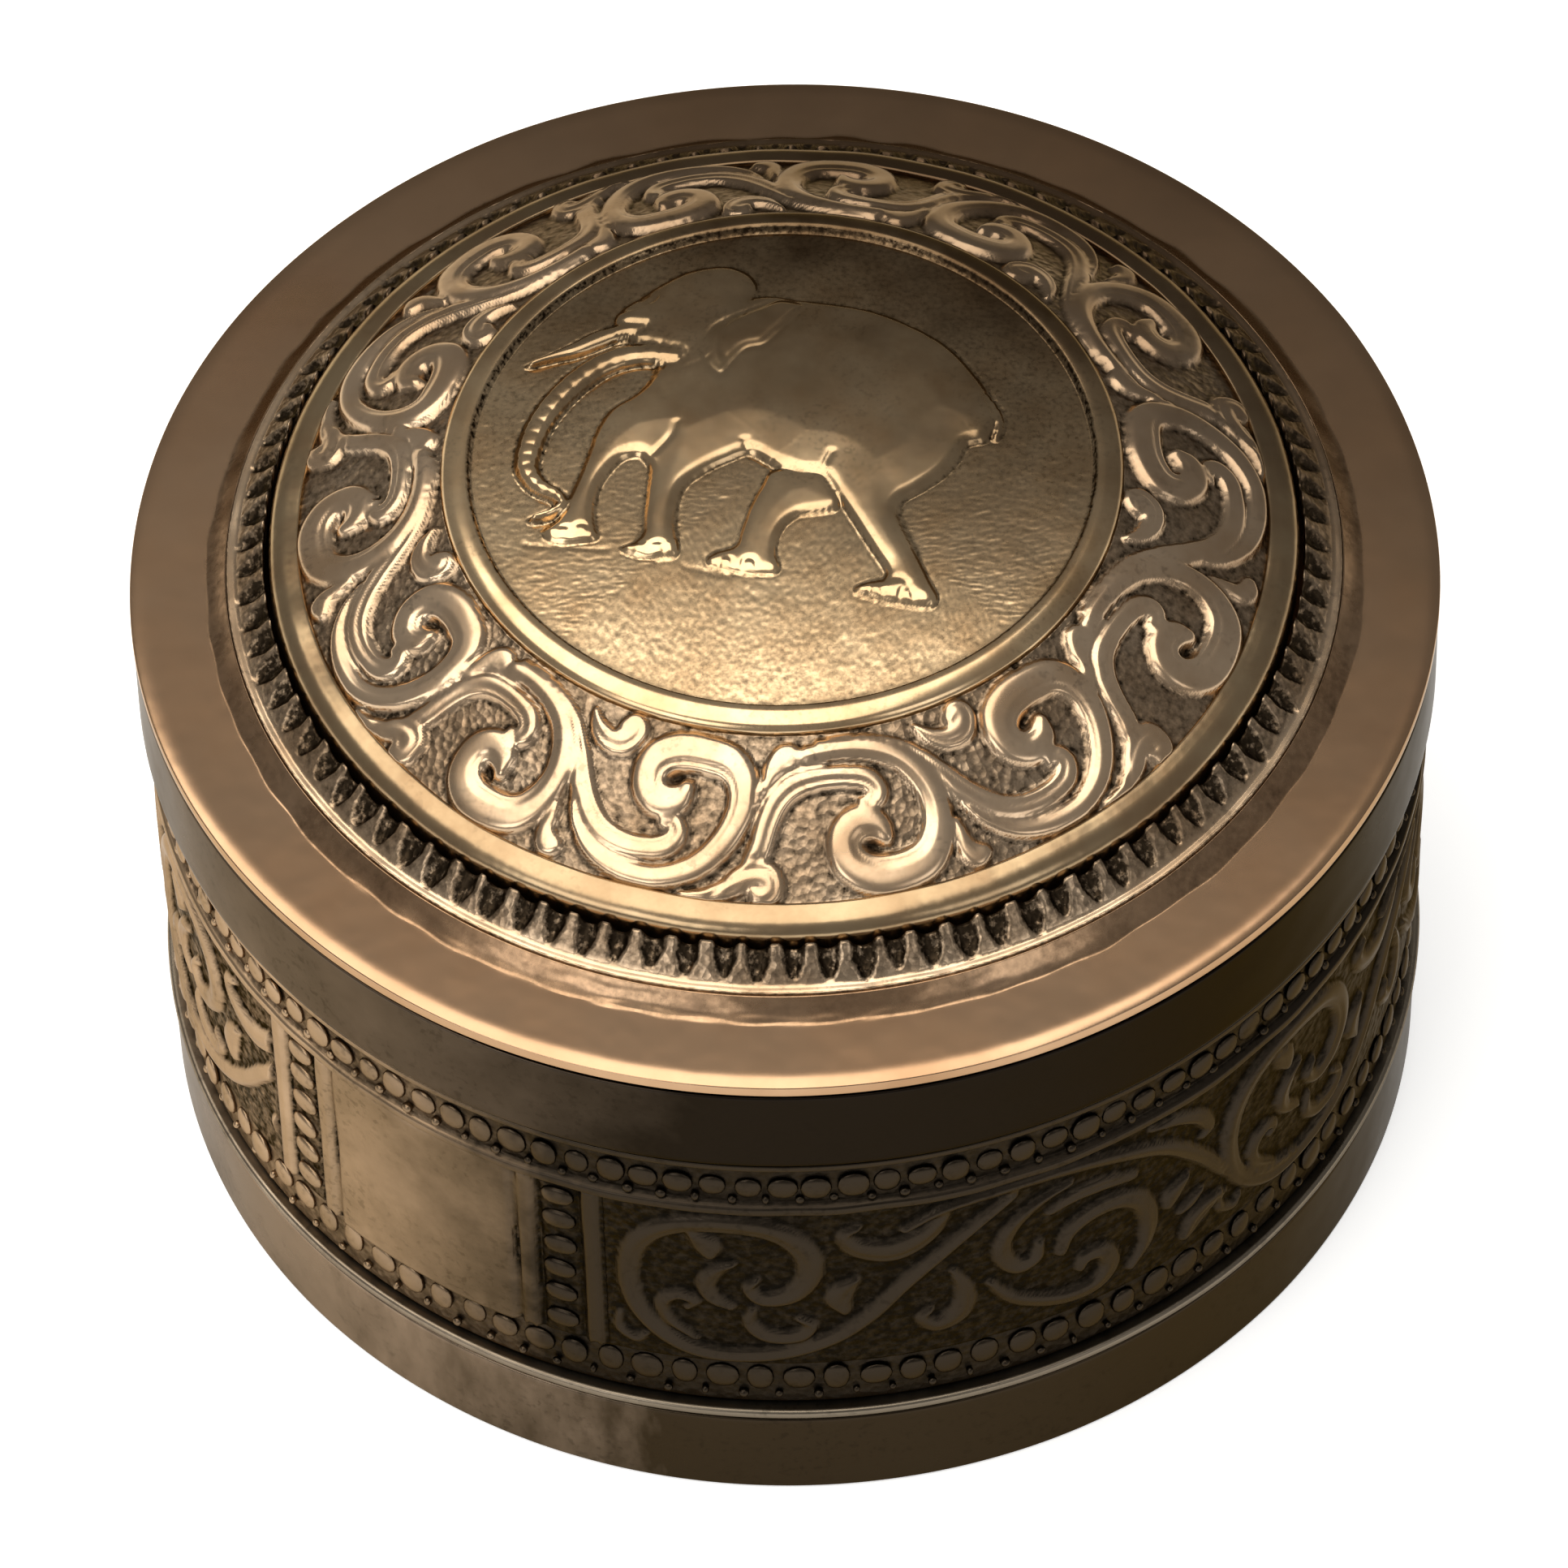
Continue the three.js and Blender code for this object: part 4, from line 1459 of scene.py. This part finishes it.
    def _border(self) -> None:
        """The sloping border: notches punched from the inside that run out to a plain ledge."""
        outer, low, high = node_span("notched_border")
        inner = inner_radius("notched_border")
        steps = 14
        columns = self.notches * steps
        random = np.random.default_rng(52)
        number = np.arange(columns) // steps
        phase = (np.arange(columns) % steps + 0.5) / steps - 0.5
        shift, width, start = (random.uniform(*limits, self.notches)[number]
                               for limits in (self.notch_shift, self.notch_half, self.notch_start))
        share = np.linspace(0, 1, 16)  # from the ledge inwards
        run = np.clip((share[None] - start[:, None]) / self.notch_run, 0, 1)
        half = width[:, None] * (self.notch_tip + (1 - self.notch_tip) * run)
        inside = np.clip(1 - (np.abs(phase - shift)[:, None] / half) ** 2.5, 0, 1)
        depth = self.notch_depth * inside * np.sqrt(run)
        climb = 0.02 + (high - low + 0.1) * (share - 0.2) / 0.8
        slope = low + 0.28 + np.where(share < 0.2, 0.1 * share, climb)
        slope = slope + hand_waver(columns, 0.05, 60, 53)[:, None]
        radius = np.broadcast_to(outer - 0.1 - share * (outer - inner - 0.1), depth.shape)
        top = np.stack([radius, slope - depth], -1)
        foot = np.array([(inner, low), (outer, low), (outer, low + 0.1), (outer, low + 0.18),
                         (outer - 0.02, low + 0.24)])
        sections = np.concatenate([np.broadcast_to(foot, (columns, len(foot), 2)), top], 1)
        # Oxide in the notches, and painted shade over the border's inner part towards the ring and on its
        # outer face.
        soiled = np.clip(depth / 0.7 + 0.56 * np.clip((share - 0.15) / 0.2, 0, 1), 0, 1)
        recess = np.concatenate([np.full((columns, len(foot)), 0.6), soiled], 1)
        border = new_piece("notched_border_chased", *turned_ring(sections), self.materials["chased"],
                           recess.ravel())
        settle(border, BODY_OF_LID, Slot.CHASED, "notched_border")

    def _plain_plaque_ring(self) -> None:
        """The plain strip between the border and the scrolls, a little wavy from the hammer."""
        outer, inner, gauge = self.ring_outer, self.ring_inner, self.plaque_gauge
        foot, crest = self.foot, self.foot + self.ring_crest
        corners = [(outer - gauge, foot, 0.05), (outer, foot, 0.05), (outer - 0.02, crest - 0.95, 0.5),
                   (outer - 0.7, crest - 0.35, 0.4), (inner + 0.1, crest - 0.08, 0.25),
                   (inner - 0.05, foot + 2.2, 0.1), (outer - gauge, foot + 1.2, 0.1)]
        ring = plain_ring("plaque_ring", corners, self.materials["ring"], waver=0.13, seed=55, columns=720,
                          ripple=0.08)
        settle(ring, BODY_OF_LID, Slot.CHASED, "lid_dome")

    def _scroll_band(self) -> None:
        """The sloping band with its fourteen volutes."""
        columns, rows = 1120, 70
        ground = smooth_path(np.array(self.band_ground), 20)
        length = np.concatenate([[0], np.cumsum(np.hypot(*np.diff(ground, axis=0).T))])
        even = np.linspace(0, length[-1], rows)
        radius = np.interp(even, length, ground[:, 0])
        height = np.interp(even, length, ground[:, 1])
        slope = np.gradient(height, radius)
        normal = np.stack([-slope, np.ones(rows)], -1) / np.hypot(slope, 1)[:, None]
        angle = np.linspace(0, 2 * math.pi, columns, endpoint=False)[:, None]
        relief = Relief(radius * np.cos(angle), radius * np.sin(angle))
        self._chase_scrolls(relief)
        relief.matting(depth=0.06, seed=61)
        raised = relief.heights()
        recess = relief.recess(wide=3, scale=0.45, ground_share=0.58)
        raised[:, [0, -1]] = 0
        top = np.stack([radius + raised * normal[:, 0], self.foot + height + raised * normal[:, 1]], -1)
        supports = [-1, rows // 2, 0]
        under = np.stack([radius[supports] - 0.1, self.foot + height[supports] - self.plaque_gauge], -1)
        sections = np.concatenate([top, np.broadcast_to(under, (columns, *under.shape))], 1)
        shade = np.concatenate([recess, np.full((columns, len(under)), 0.5)], 1)
        band = new_piece("plaque_scroll_band", *turned_ring(sections), self.materials["chased"],
                         shade.ravel())
        settle(band, BODY_OF_LID, Slot.CHASED, "lid_dome")

    def _chase_scrolls(self, relief: Relief) -> None:
        """Draws the running scroll round the band.

        Args:
            relief: The field over the band, in the lid's own flat coordinates.
        """
        azimuths = self.volute_azimuths
        sides = [1 if volute % 2 == 0 else -1 for volute in range(len(azimuths))]

        def bent(points: np.ndarray, volute: int) -> np.ndarray:
            """Bends points of the scroll's own frame round the band.

            Args:
                points: Rows of x, y and any further values.
                volute: Number of the volute that they belong to.

            Returns:
                Rows of the lid's x and y.
            """
            radius = self.scroll_radius + sides[volute] * points[:, 1]
            before = (azimuths[volute] - azimuths[volute - 1]) % 360
            after = (azimuths[(volute + 1) % len(azimuths)] - azimuths[volute]) % 360
            even = math.degrees(SCROLL.pitch / self.scroll_radius)
            stretch = np.where(points[:, 0] < 0, before, after) / even
            angle = math.radians(azimuths[volute]) + points[:, 0] * stretch / radius
            return np.stack([radius * np.cos(angle), radius * np.sin(angle)], -1)

        for stroke in (SCROLL.arm, SCROLL.ring, *SCROLL.buds):
            points = np.array(stroke.path)
            for volute, side in enumerate(sides):
                path = np.column_stack([bent(points, volute), points[:, 2]])
                line = None if stroke.line is None else side * stroke.line
                relief.ridge(path, stroke.height * self.band_relief, line)
        x, y, reach = SCROLL.eye
        for volute in range(len(azimuths)):
            dot = bent(np.array([(x - 0.12, y), (x + 0.12, y)]), volute)
            relief.groove(dot, width=reach, depth=0.3)

    def _medallion(self) -> None:
        """The round medallion with the walking elephant in low relief."""
        count = 288
        field_x, field_y = np.moveaxis(disc_grid(count) * self.field_radius, -1, 0)
        relief = Relief(field_x, field_y, flatness=2.6)
        Elephant().chase(relief)
        relief.matting(depth=0.03, seed=71)
        distance = np.hypot(field_x, field_y)
        edge = np.clip((self.field_radius - distance) / 0.4, 0, 1)
        chased = relief.recess(wide=3, scale=0.35, ground_share=0.22)
        recess = np.maximum(chased * edge, (1 - edge) * 0.45)
        crown = self.field_crown * (1 - (distance / self.field_radius) ** 2)
        height = self.foot + self.field_edge + crown + relief.heights() * edge
        corners = [np.stack([field_x, field_y, height], -1).reshape(-1, 3)]
        shades = [recess.ravel()]
        faces = grid_faces(count, count, False)

        # from the field's edge out over the rim, and back under it to the middle
        loop = disc_border(count)
        angle = np.arctan2(field_y.ravel()[loop], field_x.ravel()[loop])
        middle = self.field_edge + self.field_crown - self.plaque_gauge
        section = [*reversed(self.medallion_section), (20.5, 7.9 - self.plaque_gauge), (14.0, middle - 0.5),
                   (7.0, middle - 0.1)]
        before, first = loop, count * count
        for number, (radius, level) in enumerate(section):
            corners.append(np.stack([radius * np.cos(angle), radius * np.sin(angle),
                                     np.full(len(loop), self.foot + level)], -1))
            shades.append(np.full(len(loop), 0.0 if number else 0.7))
            now = np.arange(first, first + len(loop))
            ring = np.stack([before, now, np.roll(now, -1), np.roll(before, -1)], -1)
            faces += [tuple(face) for face in ring.tolist()]
            before, first = now, first + len(loop)
        corners.append(np.array([(0, 0, self.foot + middle)]))
        shades.append(np.zeros(1))
        faces += [(int(here), first, int(after)) for here, after in zip(before, np.roll(before, -1))]
        medallion = new_piece("plaque_medallion", np.vstack(corners), faces, self.materials["field"],
                              np.concatenate(shades))
        settle(medallion, BODY_OF_LID, Slot.CHASED, "lid_dome")


def disc_grid(count: int) -> np.ndarray:
    """An even grid over the unit disc, made by pushing a square's rings onto circles.

    Args:
        count: Corners along each side of the square.

    Returns:
        Places, as count by count by 2.
    """
    side = np.linspace(-1, 1, count)
    x, y = np.meshgrid(side, side, indexing="ij")
    reach = np.maximum(np.abs(x), np.abs(y))
    wide = np.abs(x) >= np.abs(y)
    safe_x = np.where(x == 0, 1, x)
    safe_y = np.where(y == 0, 1, y)
    turn_wide = math.pi / 4 * y / safe_x
    turn_tall = math.pi / 4 * x / safe_y
    disc_x = np.where(wide, x * np.cos(turn_wide), y * np.sin(turn_tall))
    disc_y = np.where(wide, x * np.sin(turn_wide), y * np.cos(turn_tall))
    centre = reach == 0
    return np.stack([np.where(centre, 0, disc_x), np.where(centre, 0, disc_y)], -1)


def disc_border(count: int) -> np.ndarray:
    """Numbers of the corners round the edge of a square grid, in order."""
    grid = np.arange(count * count).reshape(count, count)
    return np.concatenate([grid[:-1, 0], grid[-1, :-1], grid[:0:-1, -1], grid[0, :0:-1]])


@dataclass(frozen=True)
class Elephant:
    """A walking elephant with a raised head, in low relief; lengths are millimetres."""

    body_height: float = 0.5
    liner: float = 0.06  # depth of the line round each form
    ear_liner: float = 0.1
    body: tuple[tuple[float, float], ...] = (
        # back and rump
        (-1.5, 13.0), (1.6, 12.6), (5.3, 11.8), (7.9, 10.5), (10.2, 8.7), (11.8, 6.4), (12.8, 4.2),
        (13.1, 2.4), (12.3, 1.0), (11.2, 0.6), (10.6, -0.6), (9.6, -1.9), (8.3, -3.0), (7.2, -3.8),
        # near hind leg
        (6.9, -4.9), (7.7, -7.3), (8.6, -9.8), (9.1, -11.2), (8.4, -11.7), (6.8, -11.5), (5.3, -11.1),
        (4.1, -10.5), (4.9, -10.0), (5.9, -9.7), (6.0, -9.0), (5.2, -7.4), (4.1, -5.1), (3.2, -3.3),
        # belly
        (2.4, -1.9), (0.9, -1.6), (-0.5, -0.9), (-1.9, 0.1), (-3.1, -0.3),
        # near fore leg
        (-4.7, -1.2), (-5.9, -2.3), (-6.4, -3.8), (-6.5, -5.6), (-6.3, -7.3), (-7.6, -7.6), (-8.9, -7.4),
        (-9.7, -6.8), (-8.8, -6.3), (-8.4, -5.6), (-8.3, -4.2), (-8.1, -2.2), (-8.0, -0.6),
        # arch and far fore leg
        (-8.6, 0.3), (-9.6, 0.1), (-10.4, -0.8), (-11.0, -1.9), (-11.3, -3.3), (-11.3, -4.8),
        (-11.2, -5.9), (-12.4, -6.1), (-13.9, -5.9), (-14.4, -5.1), (-13.6, -4.3), (-12.9, -2.8),
        # chest and jaw
        (-12.2, -1.0), (-11.6, 0.9), (-11.1, 2.6), (-10.2, 4.2), (-8.8, 5.2), (-7.8, 6.4), (-7.2, 8.2),
        (-6.0, 11.0))
    far_hind_leg: tuple[tuple[float, float], ...] = (
        (2.6, -1.2), (-0.4, -1.2), (-1.2, -2.4), (-1.9, -3.9), (-2.5, -5.8), (-2.9, -7.0), (-4.2, -7.5),
        (-4.6, -8.2), (-3.2, -8.8), (-1.4, -9.1), (-0.3, -8.9), (-0.5, -7.6), (-0.2, -6.0), (0.9, -4.8),
        (3.4, -4.1))
    head: tuple[tuple[float, float], ...] = (
        (-7.0, 14.5), (-5.3, 15.5), (-3.2, 15.8), (-1.8, 15.1), (-1.2, 13.9), (-1.6, 12.6), (-2.2, 11.0),
        (-3.0, 9.0), (-4.4, 7.6), (-5.9, 7.0), (-7.2, 7.5), (-8.6, 9.2), (-9.9, 11.0), (-9.8, 12.1),
        (-8.6, 13.2))
    ear: tuple[tuple[float, float], ...] = (
        (0.2, 12.5), (-1.2, 11.9), (-2.6, 11.2), (-4.0, 10.2), (-4.6, 8.9), (-4.4, 7.3), (-3.6, 6.2),
        (-2.9, 7.1), (-2.0, 8.2), (-0.9, 8.5), (-0.1, 9.4), (0.9, 10.6), (1.7, 11.9))
    trunk: tuple[tuple[float, float, float], ...] = (
        (-6.3, 8.1, 0.7), (-8.4, 8.5, 0.85), (-10.3, 8.1, 0.9), (-12.0, 6.9, 0.9), (-13.5, 5.2, 0.88),
        (-14.6, 3.3, 0.85), (-15.2, 1.4, 0.8), (-15.35, -0.2, 0.72), (-14.7, -1.6, 0.6),
        (-13.6, -2.5, 0.46), (-13.3, -3.3, 0.38), (-14.0, -3.9, 0.32), (-15.0, -4.2, 0.22))
    trunk_rings: int = 24
    tusk: tuple[tuple[float, float, float], ...] = (
        (-8.2, 10.6, 0.35), (-9.6, 10.5, 0.6), (-11.0, 10.0, 0.7), (-12.3, 9.3, 0.58), (-13.6, 8.8, 0.36),
        (-15.2, 8.2, 0.12))
    tail: tuple[tuple[float, float, float], ...] = (
        (12.5, 4.6, 0.14), (13.0, 3.4, 0.26), (13.2, 2.2, 0.3), (12.9, 1.2, 0.16))
    toes: tuple[tuple[float, float], ...] = ((-13.2, -5.4), (-12.1, -5.3), (-8.7, -6.9), (-7.6, -7.0),
                                             (-3.5, -8.2), (-2.1, -8.4), (5.4, -10.6), (7.2, -11.0))
    chased_lines: tuple[tuple[tuple[float, float], ...], ...] = (
        ((-6.3, 2.5), (-6.7, 1.4), (-7.7, 0.2)),
        ((-2.2, 1.0), (-1.9, 0.2), (-0.5, -0.9)),
        ((-7.0, 7.5), (-7.4, 6.1), (-7.0, 4.6)),
        ((-8.4, 13.2), (-7.4, 13.7), (-7.8, 12.6), (-9.5, 12.1)),
        ((3.0, -0.2), (2.5, -1.6), (3.0, -3.0)),
        ((-3.2, 10.4), (-3.5, 9.0), (-3.4, 7.6)),
        ((5.8, -10.1), (6.8, -9.9), (7.4, -10.4)),
    )
    trodden_ground: tuple[tuple[tuple[float, float], ...], ...] = (
        ((-15.6, -5.9), (-14.2, -6.2), (-12.2, -6.5), (-10.6, -6.7)),
        ((-6.0, -8.3), (-4.8, -8.7), (-3.2, -9.2)),
    )
    eye: tuple[tuple[float, float], ...] = ((-8.3, 12.9), (-7.8, 13.3), (-7.3, 13.2), (-7.7, 12.8))

    def chase(self, relief: Relief) -> None:
        """Raises the figure out of the field, the far legs first.

        Args:
            relief: The field.
        """
        height = self.body_height
        relief.pillow(np.array(self.far_hind_leg), 0.6 * height, shoulder=0.65, crown=0.1, liner=self.liner)
        relief.pillow(np.array(self.body), 0.9 * height, shoulder=0.8, crown=0.22, liner=self.liner)
        relief.ridge(np.array(self.tail), 0.6 * height)
        relief.pillow(np.array(self.head), 1.1 * height, shoulder=1.2, crown=0.14, liner=self.liner)
        relief.ridge(np.array(self.tusk), height)
        relief.ridge(np.array(self.trunk), 1.3 * height)
        relief.pillow(np.array(self.ear), 1.45 * height, shoulder=0.8, liner=self.ear_liner)
        for path in self.chased_lines:
            relief.groove(np.array(path), width=0.17, depth=0.09)
        for path in self.trodden_ground:
            relief.groove(np.array(path), width=0.13, depth=0.03)
        toenail = np.array([(-0.45, -0.3), (-0.25, 0.25), (0.25, 0.25), (0.45, -0.3)])
        for toe in self.toes:
            relief.groove(toenail + toe, width=0.13, depth=0.09)
        relief.groove(np.array([*self.eye, self.eye[0]]), width=0.13, depth=0.12)
        trunk = smooth_path(np.array(self.trunk), 12)
        step = len(trunk) // self.trunk_rings
        for i in range(step, len(trunk) - 2 * step, step):
            x, y, width = trunk[i]
            along = trunk[i + 1, :2] - trunk[i - 1, :2]
            across = np.array([-along[1], along[0]]) / np.linalg.norm(along) * width
            relief.groove(np.array([[x, y] - across, [x, y] + across]), width=0.12, depth=0.045)


# The studio


@dataclass(frozen=True)
class Camera:
    """The photograph's camera, in the box's own frame."""

    distance: float = 618.1
    elevation: float = 50.006
    target_height: float = 41.4
    yaw: float = -0.0532
    pitch: float = -51.241
    roll: float = -1.4857
    lens: float = 232.51
    sensor: float = 36.0

    def build(self) -> None:
        """Makes the camera and hands it to the scene."""
        data = bpy.data.cameras.new("photo_camera")
        data.lens = self.lens
        data.sensor_width = self.sensor
        data.clip_start = 0.01
        data.clip_end = 20
        camera = link_new("photo_camera", data)
        angles = (self.elevation, self.yaw, self.pitch, self.roll)
        elevation, yaw, pitch, roll = (math.radians(angle) for angle in angles)
        forward = Vector((math.sin(yaw) * math.cos(pitch), math.cos(yaw) * math.cos(pitch), math.sin(pitch)))
        level_right = forward.cross(Vector((0, 0, 1))).normalized()
        level_up = level_right.cross(forward)
        right = math.cos(roll) * level_right + math.sin(roll) * level_up
        up = -math.sin(roll) * level_right + math.cos(roll) * level_up
        turn = Matrix((right, up, -forward)).transposed().to_4x4()
        place = Vector((0, -math.cos(elevation), math.sin(elevation))) * self.distance
        place.z += self.target_height
        camera.matrix_world = Matrix.Translation(place * MM) @ turn
        bpy.context.scene.camera = camera


@dataclass(frozen=True)
class Softbox:
    """One soft rectangular lamp that looks at the box."""

    name: str
    azimuth: float
    elevation: float
    distance: float
    width: float
    height: float
    power: float
    colour: str

    def build(self) -> None:
        """Makes the lamp."""
        data = bpy.data.lights.new(self.name, "AREA")
        data.shape = "RECTANGLE"
        data.size = self.width * MM
        data.size_y = self.height * MM
        data.energy = self.power
        data.color = linear(self.colour)[:3]
        lamp = link_new(self.name, data)
        azimuth, elevation = math.radians(self.azimuth), math.radians(self.elevation)
        away = Vector((math.cos(elevation) * math.cos(azimuth), math.cos(elevation) * math.sin(azimuth),
                       math.sin(elevation)))
        lamp.location = away * self.distance * MM + Vector((0, 0, 25 * MM))
        lamp.rotation_euler = away.to_track_quat("Z", "Y").to_euler()


@dataclass(frozen=True)
class Studio:
    """Pale floor, dim room and soft lamps."""

    floor_colour: str = "f6f6f5"
    floor_lift: float = 0.5  # how much whiter the paper looks to the camera than the lamps make it
    floor_reach: float = 6000.0
    floor_drop: float = 0.05  # how far it lies under the box's foot
    room_strength: float = 0.3
    lamps: tuple[Softbox, ...] = (
        Softbox("overhead_softbox", 177.6, 78.7, 721, 808, 720, 5.4, "fffaf2"),
        Softbox("front_left_softbox", 235, 30, 900, 500, 350, 1.6, "ffffff"),
        Softbox("front_right_softbox", 310, 32, 1000, 350, 350, 0.6, "ffffff"),
    )

    def build(self) -> None:
        """Makes the floor, the room's light and the lamps."""
        scene = bpy.context.scene
        scene.view_settings.view_transform = "Standard"
        material = bpy.data.materials.new("pale_paper_floor")
        material.use_nodes = True
        tree = material.node_tree
        tree.nodes.clear()
        add = partial(add_node, tree)
        paper = add("ShaderNodeBsdfDiffuse", {}, {"Color": linear(self.floor_colour)})
        path = add("ShaderNodeLightPath").outputs
        seen = add("ShaderNodeMath", GREATER_OF, {0: path["Is Camera Ray"], 1: path["Is Glossy Ray"]})
        seen = add("ShaderNodeMath", GREATER_OF, {0: seen, 1: path["Is Transmission Ray"]})
        lift = add("ShaderNodeMath", TIMES, {0: seen, 1: self.floor_lift})
        glow = add("ShaderNodeEmission", {}, {"Strength": lift})
        both = add("ShaderNodeAddShader", {}, {0: paper, 1: glow})
        add("ShaderNodeOutputMaterial", {}, {"Surface": both})
        mesh = bpy.data.meshes.new("studio_floor")
        reach, level = self.floor_reach * MM, -self.floor_drop * MM
        corners = [(x * reach, y * reach, level) for x, y in ((-1, -1), (1, -1), (1, 1), (-1, 1))]
        mesh.from_pydata(corners, [], [(0, 1, 2, 3)])
        mesh.materials.append(material)
        floor = link_new("studio_floor", mesh)
        world = bpy.data.worlds.new("soft_room")
        world.use_nodes = True
        background = world.node_tree.nodes["Background"]
        background.inputs["Color"].default_value = (1, 1, 1, 1)
        background.inputs["Strength"].default_value = self.room_strength
        scene.world = world
        for lamp in self.lamps:
            lamp.build()


def main() -> None:
    """Builds the studio, the box and the lid in turn."""
    logging.basicConfig(level=logging.INFO, format="%(name)s: %(message)s")
    Camera().build()
    Studio().build()
    finishes = {"polished": POLISHED_LID, "ring": RING_LID, "side": POLISHED_SIDE, "chased": CHASED_LID,
                "field": MEDALLION, "wall": CHASED_WALL, "foot": FOOT_SIDE, "wire": WIRE, "inner": INNER}
    materials = {part: finish.material() for part, finish in finishes.items()}
    rings, columns = boss_tree(Layout.RING), boss_tree(Layout.COLUMN)
    BoxBody(materials, rings, columns).build()
    Lid(materials, rings).build()


if __name__ == "__main__":
    main()
